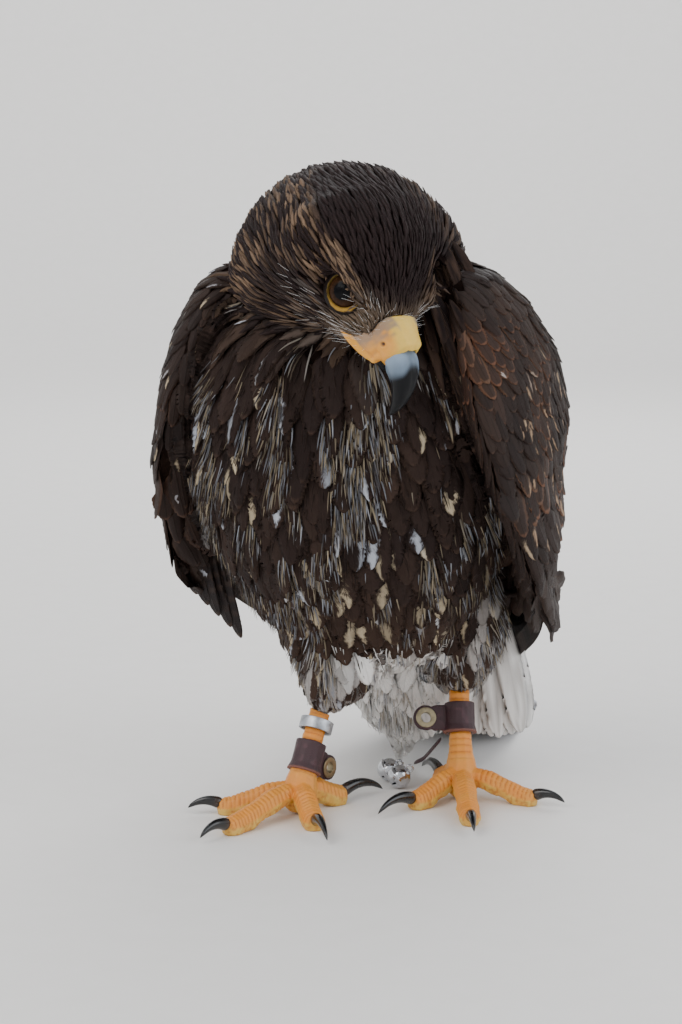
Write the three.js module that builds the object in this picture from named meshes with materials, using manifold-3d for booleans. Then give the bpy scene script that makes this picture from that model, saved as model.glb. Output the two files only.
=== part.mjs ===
// A young Harris's hawk, life size, as a still museum model. It stands hunched on the floor with its head
// bowed to its left, and wears two leather anklets with eyelets, a plain metal ring and two bells on a strap.
// Units are millimetres. X is to the viewer's right, Y away from the viewer, Z up, and the floor is Z = 0.
// Inside the body, head and tail frames the axes are the bird's own: X to its right, Y forward, Z up.

import * as THREE from "three";
import { mergeVertices } from "three/addons/utils/BufferGeometryUtils.js";
import Module from "manifold-3d";

const wasm = await Module();
wasm.setup();

// Driving dimensions

const GAP = 0.3;
const FEATHER_GAP = 0.6;
const CENTRE = { x: 12.6, y: 63.3 };
const BODY = { x: 6, y: 5, turn: 155 };
const HEAD = { x: 7.5, y: -69, z: 257, turn: 220, bow: -50, lean: -4 };
const TAIL = { x: 43, y: 60, turn: 166 };
const EYE = { out: 16.6, forward: 10.5, up: 6.5, radius: 9.2 };
const TARSUS_RADIUS = 4.8;
const FEET = {
  right: {
    ankle: [-20, -12, 12],
    hock: [0, 20, 80],
    knee: [-12, 2, 130],
    hem: 0.47,
    toes: { outer: -85, middle: -40, inner: 14, hallux: 128 },
    anklet: { from: 0.1, flap: 52 },
  },
  left: {
    ankle: [59, 14, 12],
    hock: [58, 44, 82],
    knee: [46, 8, 132],
    hem: 0.52,
    toes: { outer: 66, middle: 2, inner: -47, hallux: -160 },
    anklet: { from: 0.26, flap: 186 },
  },
};
const TOES = {
  outer: { length: 39, radius: 4.5, claw: 17 },
  middle: { length: 52, radius: 4.9, claw: 20 },
  inner: { length: 34, radius: 5, claw: 26 },
  hallux: { length: 27, radius: 5.1, claw: 28 },
};
const SOLE_DEPTH = 0.9;
const ANKLET = { inner: 5.4, outer: 7.4, height: 15, flare: 1.2 };
const FLAP = { reach: 17, end: 6.2, thickness: 2.4 };
const EYELET = { hole: 2.6, barrel: 3.3, rim: 5.1, half: 1.9 };
const RING = { inner: 6.9, outer: 8.1, height: 5.5 };
const BELL = { radius: 5.8, band: 6.2 };
const BELLS = [
  { name: "bell_front", at: [29, 29, BELL.band], loop: [0.75, -0.1, 0.65] },
  { name: "bell_back", at: [24, 42, BELL.band], loop: [0.8, -0.25, 0.55] },
];

const colours = {
  darkFeather: 0x33241c,
  streakedFeather: 0x5b4a3a,
  paleFeather: 0xd9d2c4,
  rufousFeather: 0x6a3f26,
  bill: 0x3c4652,
  cere: 0xe0b23c,
  eye: 0x2a1a12,
  scute: 0xe0952f,
  claw: 0x14141a,
  leather: 0x3a1f22,
  metal: 0xb9bcc2,
  brass: 0x9c8f6c,
};

// Making solids

const vector = (values) => new THREE.Vector3(...values);
const radians = THREE.MathUtils.degToRad;

function solidOf(geometry) {
  const bare = geometry.clone();
  bare.deleteAttribute("normal");
  bare.deleteAttribute("uv");
  const merged = mergeVertices(bare, 1e-3);
  return new wasm.Manifold(
    new wasm.Mesh({
      numProp: 3,
      vertProperties: merged.attributes.position.array,
      triVerts: new Uint32Array(merged.index.array),
    }),
  );
}

function geometryOf(solid) {
  const mesh = solid.getMesh();
  const geometry = new THREE.BufferGeometry();
  geometry.setAttribute("position", new THREE.BufferAttribute(mesh.vertProperties, 3));
  geometry.setIndex(new THREE.BufferAttribute(mesh.triVerts, 1));
  geometry.computeVertexNormals();
  return geometry;
}

// A rounded solid along a smooth curve. A station is [x, y, z, half width, half height]. The width lies along
// side, or along the side of each station where sides are given, and the height square to that and the curve.
function loft(stations, { side = [1, 0, 0], sides, around = 12, along = 8, ends = 8, grow = 0, bulge } = {}) {
  const path = new THREE.CatmullRomCurve3(stations.map(([x, y, z]) => vector([x, y, z])));
  const size = new THREE.CatmullRomCurve3(stations.map(([, , , w, h]) => vector([w, h, 0])));
  const facing = sides && new THREE.CatmullRomCurve3(sides.map(vector));
  const geometry = new THREE.SphereGeometry(1, around, along);
  const position = geometry.attributes.position;
  for (let i = 0; i < position.count; i += 1) {
    const t = (1 - position.getY(i)) / 2;
    const angle = Math.atan2(position.getZ(i), position.getX(i));
    const tangent = path.getTangent(t);
    const across = facing ? facing.getPoint(t) : vector(side);
    across.addScaledVector(tangent, -across.dot(tangent)).normalize();
    const upward = new THREE.Vector3().crossVectors(tangent, across);
    const { x: width, y: height } = size.getPoint(t);
    const end = 2 * t - 1;
    const cap = Math.sqrt(Math.max(0, 1 - Math.abs(end) ** ends)) * (bulge ? bulge(t, angle) : 1);
    const point = path
      .getPoint(t)
      .addScaledVector(across, Math.cos(angle) * (width + grow) * cap)
      .addScaledVector(upward, Math.sin(angle) * (height + grow) * cap)
      .addScaledVector(tangent, grow * Math.sign(end) * Math.abs(end) ** ends);
    position.setXYZ(i, point.x, point.y, point.z);
  }
  return solidOf(geometry);
}

// The loft as it is, and the same loft a gap larger, which its neighbours are cut back from.
function pair(stations, options, matrix = new THREE.Matrix4(), gap = GAP) {
  const at = (solid) => solid.transform(matrix.elements);
  return {
    solid: at(loft(stations, options)),
    clear: at(loft(stations, { ...options, grow: gap })),
  };
}

function largest(solid) {
  return solid.decompose().reduce((best, piece) => (piece.volume() > best.volume() ? piece : best));
}

function cutBack(solid, ...others) {
  return largest(others.reduce((left, other) => left.subtract(other), solid));
}

function boxAt([x, y, z], [width, depth, height]) {
  return solidOf(new THREE.BoxGeometry(width, depth, height).translate(x, y, z));
}

function frameOf({ x, y, z = 0, turn, bow = 0, lean = 0 }) {
  const frame = new THREE.Group();
  frame.position.set(x, y, z);
  frame.rotation.set(radians(bow), radians(lean), radians(turn), "ZXY");
  frame.updateMatrixWorld(true);
  return frame;
}

const bird = new THREE.Group();
const bodyFrame = frameOf(BODY);
const headFrame = frameOf(HEAD);
const tailFrame = frameOf(TAIL);
bird.add(bodyFrame, headFrame, tailFrame);

function addMesh(parent, name, shape, colour, { roughness = 0.85, metalness = 0 } = {}) {
  const geometry = shape.isBufferGeometry ? shape : geometryOf(shape);
  const material = new THREE.MeshStandardMaterial({ color: colour, roughness, metalness });
  const mesh = new THREE.Mesh(geometry, material);
  mesh.name = name;
  parent.add(mesh);
  return mesh;
}

const FLOOR = boxAt([0, 100, -100], [1200, 1200, 200]);

// Trunk, neck and head, out to the tips of the coat

const trunk = pair(
  [
    [0, 14, 268, 20, 18],
    [0, 12, 258, 46, 38],
    [0, 8, 237, 66, 54],
    [0, 3, 206, 80, 65],
    [0, -2, 170, 84, 68],
    [0, -9, 134, 76, 62],
    [0, -22, 104, 60, 48],
    [0, -36, 84, 40, 32],
    [0, -48, 78, 20, 18],
  ],
  { around: 22, along: 14 },
  bodyFrame.matrixWorld,
  FEATHER_GAP,
);

const neck = pair(
  [
    [7, 14, 226, 55, 46],
    [5, -5, 245, 56, 49],
    [3, -24, 257, 56, 52],
    [5, -43, 263, 52, 50],
    [10, -60, 264, 41, 40],
  ],
  { around: 20, along: 10, ends: 4, bulge: (t, angle) => 1 - 0.35 * Math.max(0, -Math.sin(angle)) },
  undefined,
  FEATHER_GAP,
);

const skull = pair(
  [
    [0, -38, 5, 22, 22],
    [0, -26, 5, 33, 29],
    [0, -9, 4, 35, 31],
    [0, 6, 2.5, 26.5, 28],
    [0, 17, 1.5, 21.5, 22],
    [0, 26, 2, 18, 16],
    [0, 33, 3, 12, 11],
  ],
  { around: 18, along: 12, ends: 6 },
  headFrame.matrixWorld,
  FEATHER_GAP,
);

const brow = (out) =>
  loft(
    [
      [out * 24.4, -2, 16, 4, 3],
      [out * 24.4, 8, 16.4, 5, 3.4],
      [out * 22, 17.5, 14.4, 4.4, 3.1],
      [out * 16.5, 25, 11, 3.4, 2.6],
    ],
    { around: 8, along: 6, ends: 6 },
  );

// Bill, cere and eyes, in the head's own frame

const CERE_STATIONS = [
  [0, 27, 2.2, 11.5, 10.5],
  [0, 33, 2.4, 11, 10.4],
  [0, 39, 2.2, 9.6, 9.9],
  [0, 44, 1.6, 8, 9.2],
];
const UPPER_BILL_STATIONS = [
  [0, 40, 1.4, 7.6, 8.8],
  [0, 47, 0.4, 6.9, 8.1],
  [0, 52.6, -3.4, 5.4, 6.6],
  [0, 56.4, -9.4, 3.5, 4.4],
  [0, 57.8, -14.8, 1.9, 2.4],
  [0, 58.2, -20, 0.6, 0.7],
];
const LOWER_BILL_STATIONS = [
  [0, 20, -9.8, 7.4, 3],
  [0, 30, -9.6, 6.6, 3.2],
  [0, 40, -10, 5, 3],
  [0, 47.5, -11, 2.6, 1.8],
];

// The bill narrows to a ridge along its top and is widest and squarest at its cutting edge.
const ridged = (fade) => (t, angle) => {
  const slope = Math.sin(angle) * Math.abs(Math.cos(angle));
  return slope > 0 ? 1 - 0.22 * slope : 1 - 0.5 * slope * (1 - fade * t * t);
};

const cereBody = loft(CERE_STATIONS, { around: 14, along: 8, ends: 10, bulge: ridged(0) });
const ballAt = (radius, x, y, z) => solidOf(new THREE.SphereGeometry(radius, 10, 8).translate(x, y, z));

// The lip of the gape grows out of the lower corner of the cere.
const lipRoot = (out, grow = 0) =>
  wasm.Manifold.hull([ballAt(1.7 + grow, out * 8.2, 38, -5.6), ballAt(3 + grow, out * 5.8, 37.5, -2.5)]);
const gape = (out) =>
  loft(
    [
      [out * 15.5, 19, -7.6, 1.3, 1.5],
      [out * 13.6, 25, -7.4, 1.7, 1.9],
      [out * 11, 32, -6.6, 2, 2.2],
      [out * 8.4, 38.5, -5.6, 1.6, 1.9],
    ],
    { around: 6, along: 6 },
  );
const upperBill = loft(UPPER_BILL_STATIONS, { around: 12, along: 12, bulge: ridged(1) });
const upperBillClear = loft(UPPER_BILL_STATIONS, { around: 12, along: 12, bulge: ridged(1), grow: GAP });
const lowerBill = loft(LOWER_BILL_STATIONS, { around: 8, along: 6 });
const lowerBillClear = loft(LOWER_BILL_STATIONS, { around: 8, along: 6, grow: GAP });
const cereParts = [gape(1), gape(-1), lipRoot(1), lipRoot(-1)];
const cere = cutBack(cereParts.reduce((sum, p) => sum.add(p), cereBody), upperBillClear, lowerBillClear);
const cereClear = loft(CERE_STATIONS, { around: 14, along: 8, ends: 10, bulge: ridged(0), grow: GAP });
const gapeClear = (out) =>
  loft(
    [
      [out * 15.7, 18.6, -7.6, 1.7, 1.9],
      [out * 13.6, 25, -7.4, 2.1, 2.3],
      [out * 11, 32, -6.6, 2.4, 2.6],
      [out * 8.4, 39, -5.6, 2, 2.3],
    ],
    { around: 6, along: 6 },
  );

addMesh(headFrame, "bill_upper", upperBill, colours.bill, { roughness: 0.3 });
addMesh(headFrame, "bill_lower", cutBack(lowerBill, upperBillClear), colours.bill, { roughness: 0.3 });
addMesh(headFrame, "cere", cere, colours.cere, { roughness: 0.4 });

const eyeBall = (out, grow = 0) => {
  const ball = new THREE.SphereGeometry(EYE.radius + grow, 10, 8);
  return solidOf(ball.translate(out * EYE.out, EYE.forward, EYE.up));
};
const socket = (out) => {
  const bowl = new THREE.SphereGeometry(1, 10, 6).scale(8, 10.2, 9.2);
  return solidOf(bowl.translate(out * 27, EYE.forward + 1.5, EYE.up - 0.5));
};

for (const [side, out] of [["right", 1], ["left", -1]])
  addMesh(headFrame, `eye_${side}`, eyeBall(out), colours.eye, { roughness: 0.1 });

const inWorld = (solid, frame) => solid.transform(frame.matrixWorld.elements);

// The crown runs on into the hood as one dome, scooped out round the eyes.
const DOME = { from: 226, low: -4, front: 15, scoop: 17, nape: -30 };
const headPlace = vector([HEAD.x, HEAD.y, HEAD.z]);
const ahead = new THREE.Vector3(0, 1, 0).transformDirection(headFrame.matrixWorld);
const above = new THREE.Vector3(0, 0, 1).transformDirection(headFrame.matrixWorld);
const domeOf = (kind) => {
  const hood = neck[kind].trimByPlane([0, 0, 1], DOME.from);
  const crown = skull[kind]
    .trimByPlane(above.toArray(), above.dot(headPlace) + DOME.low)
    .trimByPlane(ahead.clone().negate().toArray(), -ahead.dot(headPlace) - DOME.front);
  return wasm.Manifold.hull([hood, crown]);
};
const scoop = (out) => inWorld(ballAt(DOME.scoop, out * 31, EYE.forward + 1, EYE.up - 2), headFrame);
const dome = domeOf("solid").subtract(scoop(1)).subtract(scoop(-1));
const domeClear = domeOf("clear");
const nape = ahead.dot(headPlace) + DOME.nape;
const headBody = skull.solid.add(dome).trimByPlane(ahead.toArray(), nape);
const headClear = skull.clear.add(domeClear).trimByPlane(ahead.toArray(), nape - FEATHER_GAP);
const headOutline = [brow(1), brow(-1)].reduce((sum, b) => sum.add(inWorld(b, headFrame)), headBody);
const faceCuts = [
  cereClear,
  gapeClear(1),
  gapeClear(-1),
  lipRoot(1, GAP),
  lipRoot(-1, GAP),
  upperBillClear,
  lowerBillClear,
  socket(1),
  socket(-1),
  eyeBall(1, GAP),
  eyeBall(-1, GAP),
].map((solid) => inWorld(solid, headFrame));
const head = cutBack(headOutline, ...faceCuts);
const faceParts = [eyeBall(1, GAP), eyeBall(-1, GAP), cereClear, lowerBillClear];
const faceKeep = faceParts.map((solid) => inWorld(solid, headFrame));
addMesh(bird, "head", head, colours.darkFeather);
addMesh(bird, "neck", cutBack(neck.solid.add(dome), headClear, ...faceKeep), colours.streakedFeather);
addMesh(bird, "trunk", cutBack(trunk.solid, neck.clear, skull.clear, domeClear), colours.streakedFeather);

// Tail and the coverts under it. The feathers slope down behind the legs and lie along the floor.

const tail = pair(
  [
    [0, 10, 114, 22, 6],
    [0, -5, 90, 30, 5],
    [0, -21, 60, 35, 4.2],
    [0, -40, 32, 37, 3.4],
    [0, -66, 10, 38, 2.8],
    [0, -104, 2.4, 38, 2.4],
    [0, -152, 1.8, 39, 2.2],
    [0, -172, 1.7, 34, 2.1],
  ],
  { around: 10, along: 16, ends: 14 },
  tailFrame.matrixWorld,
);
const undertail = pair(
  [
    [-2, 30, 90, 40, 18],
    [2, 16, 70, 41, 19],
    [8, 5, 48, 35, 15],
    [12, -3, 29, 25, 10],
    [14, -8, 13, 13, 5],
  ],
  { around: 12, along: 8, ends: 6 },
  tailFrame.matrixWorld,
  FEATHER_GAP,
);

// Thighs, in their feathered trousers

const thighs = Object.fromEntries(
  Object.entries(FEET).map(([side, { ankle, hock, knee, hem }]) => {
    const cuff = vector(ankle).lerp(vector(hock), hem);
    const middle = vector(hock).lerp(vector(knee), 0.35);
    return [
      side,
      pair(
        [
          [...knee, 31, 33],
          [...middle.toArray(), 31, 32],
          [hock[0], hock[1] - 10, hock[2] - 4, 27, 28],
          [...cuff.toArray(), 12, 14],
        ],
        { around: 14, along: 8, ends: 6 },
        undefined,
        FEATHER_GAP,
      ),
    ];
  }),
);

// The scaled part of each leg, from the palm of the foot up into the trousers

const tarsi = Object.fromEntries(
  Object.entries(FEET).map(([side, { ankle, hock }]) => {
    const up = (share) => vector(ankle).lerp(vector(hock), share).toArray();
    return [
      side,
      pair(
        [
          [ankle[0], ankle[1] - 3, 0.6, 6.4, 6.4],
          [ankle[0], ankle[1] - 2, 9, 8.4, 7.8],
          [...up(0.08), 6.6, 6.2],
          [...up(0.2), TARSUS_RADIUS, TARSUS_RADIUS],
          [...up(0.6), TARSUS_RADIUS, TARSUS_RADIUS],
          [...up(0.8), TARSUS_RADIUS, TARSUS_RADIUS],
        ],
        { around: 10, along: 10, ends: 10 },
      ),
    ];
  }),
);

for (const [side, thigh] of Object.entries(thighs)) {
  const other = thighs[side === "right" ? "left" : "right"];
  const cuts = side === "right" ? [trunk.clear] : [trunk.clear, other.clear];
  addMesh(bird, `thigh_${side}`, cutBack(thigh.solid, ...cuts), colours.streakedFeather);
}

const hind = [trunk.clear, thighs.right.clear, thighs.left.clear];
addMesh(bird, "tail", cutBack(tail.solid, ...hind, FLOOR), colours.darkFeather);
const aroundUndertail = [...hind, tail.clear, tarsi.right.clear, tarsi.left.clear, FLOOR];
addMesh(bird, "undertail", cutBack(undertail.solid, ...aroundUndertail), colours.paleFeather);

// Folded wings: the arm with its coverts, then the long flight feathers crossing behind

const WING_STATIONS = [
  [52, 24, 256, 9, 14],
  [66, 18, 240, 15, 28],
  [78, 10, 216, 17, 40],
  [86, 2, 188, 16, 48],
  [87, -12, 156, 14, 50],
  [79, -34, 126, 12, 46],
  [61, -64, 100, 10, 39],
  [45, -91, 77, 8, 32],
  [32, -110, 54, 6, 25],
  [23, -131, 35, 4.5, 18],
  [16, -160, 20, 3.2, 12],
  [12, -190, 13.5, 2.2, 7],
];
const WING_SIDES = [
  [0.7, 0.3, 0.65],
  [0.85, 0.2, 0.5],
  [0.95, 0.15, 0.3],
  [1, 0.05, 0.12],
  [1, -0.15, 0.08],
  [0.9, -0.4, 0.1],
  [0.7, -0.65, 0.25],
  [0.5, -0.75, 0.4],
  [0.35, -0.7, 0.6],
  [0.25, -0.5, 0.8],
  [0.15, -0.25, 0.95],
  [0.1, -0.15, 1],
];
const WINGS = {
  left: { out: -1, width: 1.01, lift: 10 },
  right: { out: 1, width: 0.93, lift: 6 },
};
const FLIGHT_FEATHERS_BELOW = 104;
const TAILWARD_DRIFT = 0.2;

let otherWing;
for (const [side, { out, width, lift }] of Object.entries(WINGS)) {
  const drift = (y) => TAILWARD_DRIFT * Math.max(0, -50 - y);
  const raise = (z) => lift * Math.max(0, (z - 100) / 160);
  const wing = pair(
    WING_STATIONS.map(([x, y, z, w, h]) => [out * width * x + drift(y), y, z + raise(z), w, h]),
    { sides: WING_SIDES.map(([x, y, z]) => [out * x, y, z]), around: 12, along: 16, ends: 10 },
    bodyFrame.matrixWorld,
    FEATHER_GAP,
  );
  const below = boxAt([0, 0, FLIGHT_FEATHERS_BELOW - 200], [800, 800, 400]);
  const above = boxAt([0, 0, FLIGHT_FEATHERS_BELOW + 200 + GAP], [800, 800, 400]);
  const body = [neck.clear, ...hind, tail.clear, undertail.clear, skull.clear, domeClear];
  const clearOf = otherWing ? [...body, otherWing] : body;
  addMesh(bird, `wing_${side}`, cutBack(wing.solid.intersect(above), ...clearOf), colours.rufousFeather);
  const flight = cutBack(wing.solid.intersect(below), ...clearOf);
  addMesh(bird, `flight_feathers_${side}`, flight, colours.darkFeather);
  otherWing = wing.clear;
}

// Toes and claws lie along a heading on the floor: 0 is toward the viewer and 90 to the viewer's right.

const heading = (degrees) => vector([Math.sin(radians(degrees)), -Math.cos(radians(degrees)), 0]);

function toeStations(ankle, direction, { length, radius }) {
  const along = (share, z, size) => {
    const point = vector(ankle).setZ(0).addScaledVector(direction, share * length);
    return [point.x, point.y, z, size * radius, size * radius];
  };
  const sunk = 0.98 * radius - SOLE_DEPTH;
  return [
    along(0.04, 11, 1),
    along(0.3, 10.4, 1.02),
    along(0.6, 6.6, 0.94),
    along(0.84, sunk, 0.98),
    along(1, sunk, 0.9),
  ];
}

function clawStations(ankle, direction, { length, radius, claw }) {
  const bend = 1.25;
  const start = 0.42 * bend;
  const curl = claw / bend;
  return [0, 0.3, 0.6, 0.85, 1].map((share) => {
    const angle = bend * share - start;
    const out = length - 1.5 + curl * (Math.sin(angle) + Math.sin(start));
    const rise = 5 + curl * (Math.cos(angle) - Math.cos(start));
    const point = vector(ankle).setZ(0).addScaledVector(direction, out);
    const thick = 0.62 * radius * (1 - share) ** 0.75 + 0.35;
    return [point.x, point.y, rise, thick * 0.85, thick];
  });
}

// Leather anklets, each with an eyelet in its flap. Locally Z runs up the tarsus and X out along the flap.

function ankletBody() {
  const { inner, outer, height, flare } = ANKLET;
  const profile = [
    [inner, 0],
    [outer + flare, 0],
    [outer, 4],
    [outer, height],
    [inner, height],
    [inner, 0],
  ].map(([r, y]) => new THREE.Vector2(r, y));
  const band = new THREE.LatheGeometry(profile, 16).rotateX(Math.PI / 2);
  const outline = new THREE.Shape();
  outline.moveTo(inner + 0.5, 1.5);
  outline.lineTo(FLAP.reach - 4, 1.2);
  outline.absarc(FLAP.reach, height / 2, FLAP.end, -Math.PI * 0.66, Math.PI * 0.66);
  outline.lineTo(FLAP.reach - 4, height - 1.2);
  outline.lineTo(inner + 0.5, height - 1.5);
  const hole = new THREE.Path();
  hole.absarc(FLAP.reach, height / 2, EYELET.barrel + GAP, 0, 2 * Math.PI, true);
  outline.holes.push(hole);
  const depth = FLAP.thickness;
  const flap = new THREE.ExtrudeGeometry(outline, { depth, bevelEnabled: false, curveSegments: 6 });
  flap.translate(0, 0, -FLAP.thickness / 2).rotateX(Math.PI / 2);
  return largest(solidOf(band).add(solidOf(flap)));
}

function eyelet() {
  const { hole, barrel, rim, half } = EYELET;
  const lip = FLAP.thickness / 2 + GAP;
  const profile = [
    [hole, -half],
    [rim - 0.5, -half],
    [rim, -lip],
    [barrel, -lip],
    [barrel, lip],
    [rim, lip],
    [rim - 0.5, half],
    [hole, half],
    [hole, -half],
  ].map(([r, y]) => new THREE.Vector2(r, y));
  return new THREE.LatheGeometry(profile, 12);
}

function ringBand() {
  const { inner, outer, height } = RING;
  const profile = [
    [inner, 0],
    [outer, 0],
    [outer, height],
    [inner, height],
    [inner, 0],
  ].map(([r, y]) => new THREE.Vector2(r, y));
  return new THREE.LatheGeometry(profile, 20).rotateX(Math.PI / 2);
}

for (const [side, { ankle, hock, toes, anklet }] of Object.entries(FEET)) {
  const shank = vector(hock).sub(vector(ankle));
  const up = (share) => vector(ankle).addScaledVector(shank, share).toArray();
  const clearOfThigh = thighs[side].clear;
  const tarsus = tarsi[side];
  addMesh(bird, `tarsus_${side}`, cutBack(tarsus.solid, clearOfThigh, FLOOR), colours.scute);

  const taken = [tarsus.clear];
  for (const [toe, size] of Object.entries(TOES)) {
    const direction = heading(toes[toe]);
    const across = [-direction.y, direction.x, 0];
    const claw = pair(clawStations(ankle, direction, size), { side: across, around: 6, along: 7, ends: 12 });
    const digit = pair(toeStations(ankle, direction, size), { side: across, around: 8, along: 8, ends: 10 });
    addMesh(bird, `toe_${side}_${toe}`, cutBack(digit.solid, ...taken, FLOOR), colours.scute);
    const bareClaw = cutBack(claw.solid, digit.clear, FLOOR);
    addMesh(bird, `claw_${side}_${toe}`, bareClaw, colours.claw, { roughness: 0.2 });
    taken.push(digit.clear);
  }

  const cuff = new THREE.Group();
  cuff.position.set(...up(anklet.from));
  const upright = new THREE.Quaternion().setFromUnitVectors(vector([0, 0, 1]), shank.clone().normalize());
  const turned = new THREE.Quaternion().setFromAxisAngle(vector([0, 0, 1]), radians(anklet.flap));
  cuff.quaternion.copy(upright.multiply(turned));
  bird.add(cuff);
  cuff.updateMatrixWorld(true);
  const wrap = cutBack(inWorld(ankletBody(), cuff), ...taken, clearOfThigh);
  addMesh(bird, `anklet_${side}`, wrap, colours.leather);
  const eye = addMesh(cuff, `eyelet_${side}`, eyelet(), colours.brass, { roughness: 0.4, metalness: 1 });
  eye.position.set(FLAP.reach, 0, ANKLET.height / 2);
  if (side === "right") {
    const ring = addMesh(cuff, "ring", ringBand(), colours.metal, { roughness: 0.35, metalness: 1 });
    ring.position.z = ANKLET.height + GAP + RING.height;
  }
}

// Two slotted bells lying beside the left foot, on a leather strap from its anklet

function bellSolid() {
  const { radius, band } = BELL;
  const profile = [];
  for (let step = 0; step <= 8; step += 1) {
    const angle = -Math.PI / 2 + (Math.PI * step) / 8;
    profile.push(new THREE.Vector2(step % 8 ? radius * Math.cos(angle) : 0, radius * Math.sin(angle)));
  }
  const shell = solidOf(new THREE.LatheGeometry(profile, 12));
  const seam = solidOf(new THREE.CylinderGeometry(band, band, 0.9, 12));
  const loop = solidOf(new THREE.TorusGeometry(1.7, 0.55, 4, 8).translate(0, radius + 0.9, 0));
  const slot = boxAt([0, -radius, 0], [1.1, 5, 20]);
  return shell.add(seam).add(loop).subtract(slot);
}

for (const { name, at, loop } of BELLS) {
  const turn = new THREE.Quaternion().setFromUnitVectors(vector([0, 1, 0]), vector(loop).normalize());
  const place = new THREE.Matrix4().compose(vector(at), turn, vector([1, 1, 1]));
  addMesh(bird, name, bellSolid().transform(place.elements), colours.metal, { roughness: 0.2, metalness: 1 });
}

const bewit = loft(
  [
    [49.5, 24, 27, 2.4, 0.7],
    [45, 26, 21, 2.4, 0.7],
    [41, 29, 15.5, 2.4, 0.7],
    [36.6, 32, 12.4, 2.2, 0.7],
  ],
  { side: [0.1, 1, 0.1], around: 6, along: 8, ends: 14 },
);
addMesh(bird, "bewit", bewit, colours.leather);

// The origin is on the floor below the middle of the whole model
bird.position.set(-CENTRE.x, -CENTRE.y, 0);

export default bird;
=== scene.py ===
"""The finish of a life-size harris hawk, built round its CAD frame."""

import math
from functools import partial
from types import SimpleNamespace

import bmesh
import bpy
import numpy as np
from bpy.props import FloatProperty, FloatVectorProperty, PointerProperty
from mathutils import Matrix, Vector
from mathutils.bvhtree import BVHTree
from mathutils.kdtree import KDTree


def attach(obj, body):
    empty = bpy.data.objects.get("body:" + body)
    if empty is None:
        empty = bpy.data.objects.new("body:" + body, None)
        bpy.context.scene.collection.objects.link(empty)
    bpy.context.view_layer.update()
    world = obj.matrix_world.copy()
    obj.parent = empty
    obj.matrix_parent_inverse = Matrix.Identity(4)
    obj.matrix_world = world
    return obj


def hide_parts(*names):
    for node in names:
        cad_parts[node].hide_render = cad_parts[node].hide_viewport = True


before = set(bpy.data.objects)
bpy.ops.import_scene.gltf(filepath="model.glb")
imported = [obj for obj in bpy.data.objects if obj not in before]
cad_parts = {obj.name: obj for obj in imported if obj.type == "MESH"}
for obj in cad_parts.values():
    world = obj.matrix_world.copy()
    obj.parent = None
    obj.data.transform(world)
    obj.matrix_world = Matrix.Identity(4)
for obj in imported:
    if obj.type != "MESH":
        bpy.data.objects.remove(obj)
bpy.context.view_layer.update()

bl_info = {
    "name": "Harris hawk",
    "version": (1, 0, 0),
    "blender": (4, 5, 0),
    "location": "View3D > Sidebar > Hawk",
    "description": "Plumage, face, feet and furniture of a life-size harris hawk",
    "category": "Object",
}

BODY_NAME = "root"
BAKE_MAP = "OFBake"
VANE_MAP = "vane"
PATCH = 0.003
MM = 0.001

# Frames of the bird, in millimetres and degrees, before the part is centred.

CENTRE = Vector((12.6, 63.3, 0.0)) * MM


def placed(x, y, z=0.0, turn=0.0, bow=0.0, lean=0.0):
    """The matrix of a frame: turned about Z, then bowed about X and leant about Y."""
    turned = Matrix.Rotation(math.radians(turn), 4, "Z")
    bowed = Matrix.Rotation(math.radians(bow), 4, "X")
    leant = Matrix.Rotation(math.radians(lean), 4, "Y")
    return Matrix.Translation(Vector((x, y, z)) * MM - CENTRE) @ turned @ bowed @ leant


WORLD = placed(0, 0)
BODY = placed(6, 5, 0, 155)
HEAD = placed(7.5, -69, 257, 220, -50, -4)
TAIL = placed(43, 60, 0, 166)

EYE_CENTRE = (16.6, 10.5, 6.5)
EYE_AXIS = (0.87, 0.3, 0.39)
EYE_RADIUS = 9.2
IRIS_RADIUS = 7.3
PUPIL_RADIUS = 3.9

FEET = {
    "right": {
        "ankle": (-20, -12, 12),
        "hock": (0, 20, 80),
        "toes": {"outer": -85, "middle": -40, "inner": 14, "hallux": 128},
    },
    "left": {
        "ankle": (59, 14, 12),
        "hock": (58, 44, 82),
        "toes": {"outer": 66, "middle": 2, "inner": -47, "hallux": -160},
    },
}
TOES = {
    "outer": {"length": 39, "radius": 4.5, "claw": 17},
    "middle": {"length": 52, "radius": 4.9, "claw": 20},
    "inner": {"length": 34, "radius": 5, "claw": 26},
    "hallux": {"length": 27, "radius": 5.1, "claw": 28},
}

UPPER_BILL_STATIONS = (
    (0, 40, 1.4, 7.6, 8.8),
    (0, 47, 0.4, 6.9, 8.1),
    (0, 52.6, -3.4, 5.4, 6.6),
    (0, 56.4, -9.4, 3.5, 4.4),
    (0, 57.8, -14.8, 1.9, 2.4),
    (0, 58.2, -20, 0.6, 0.7),
)

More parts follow.
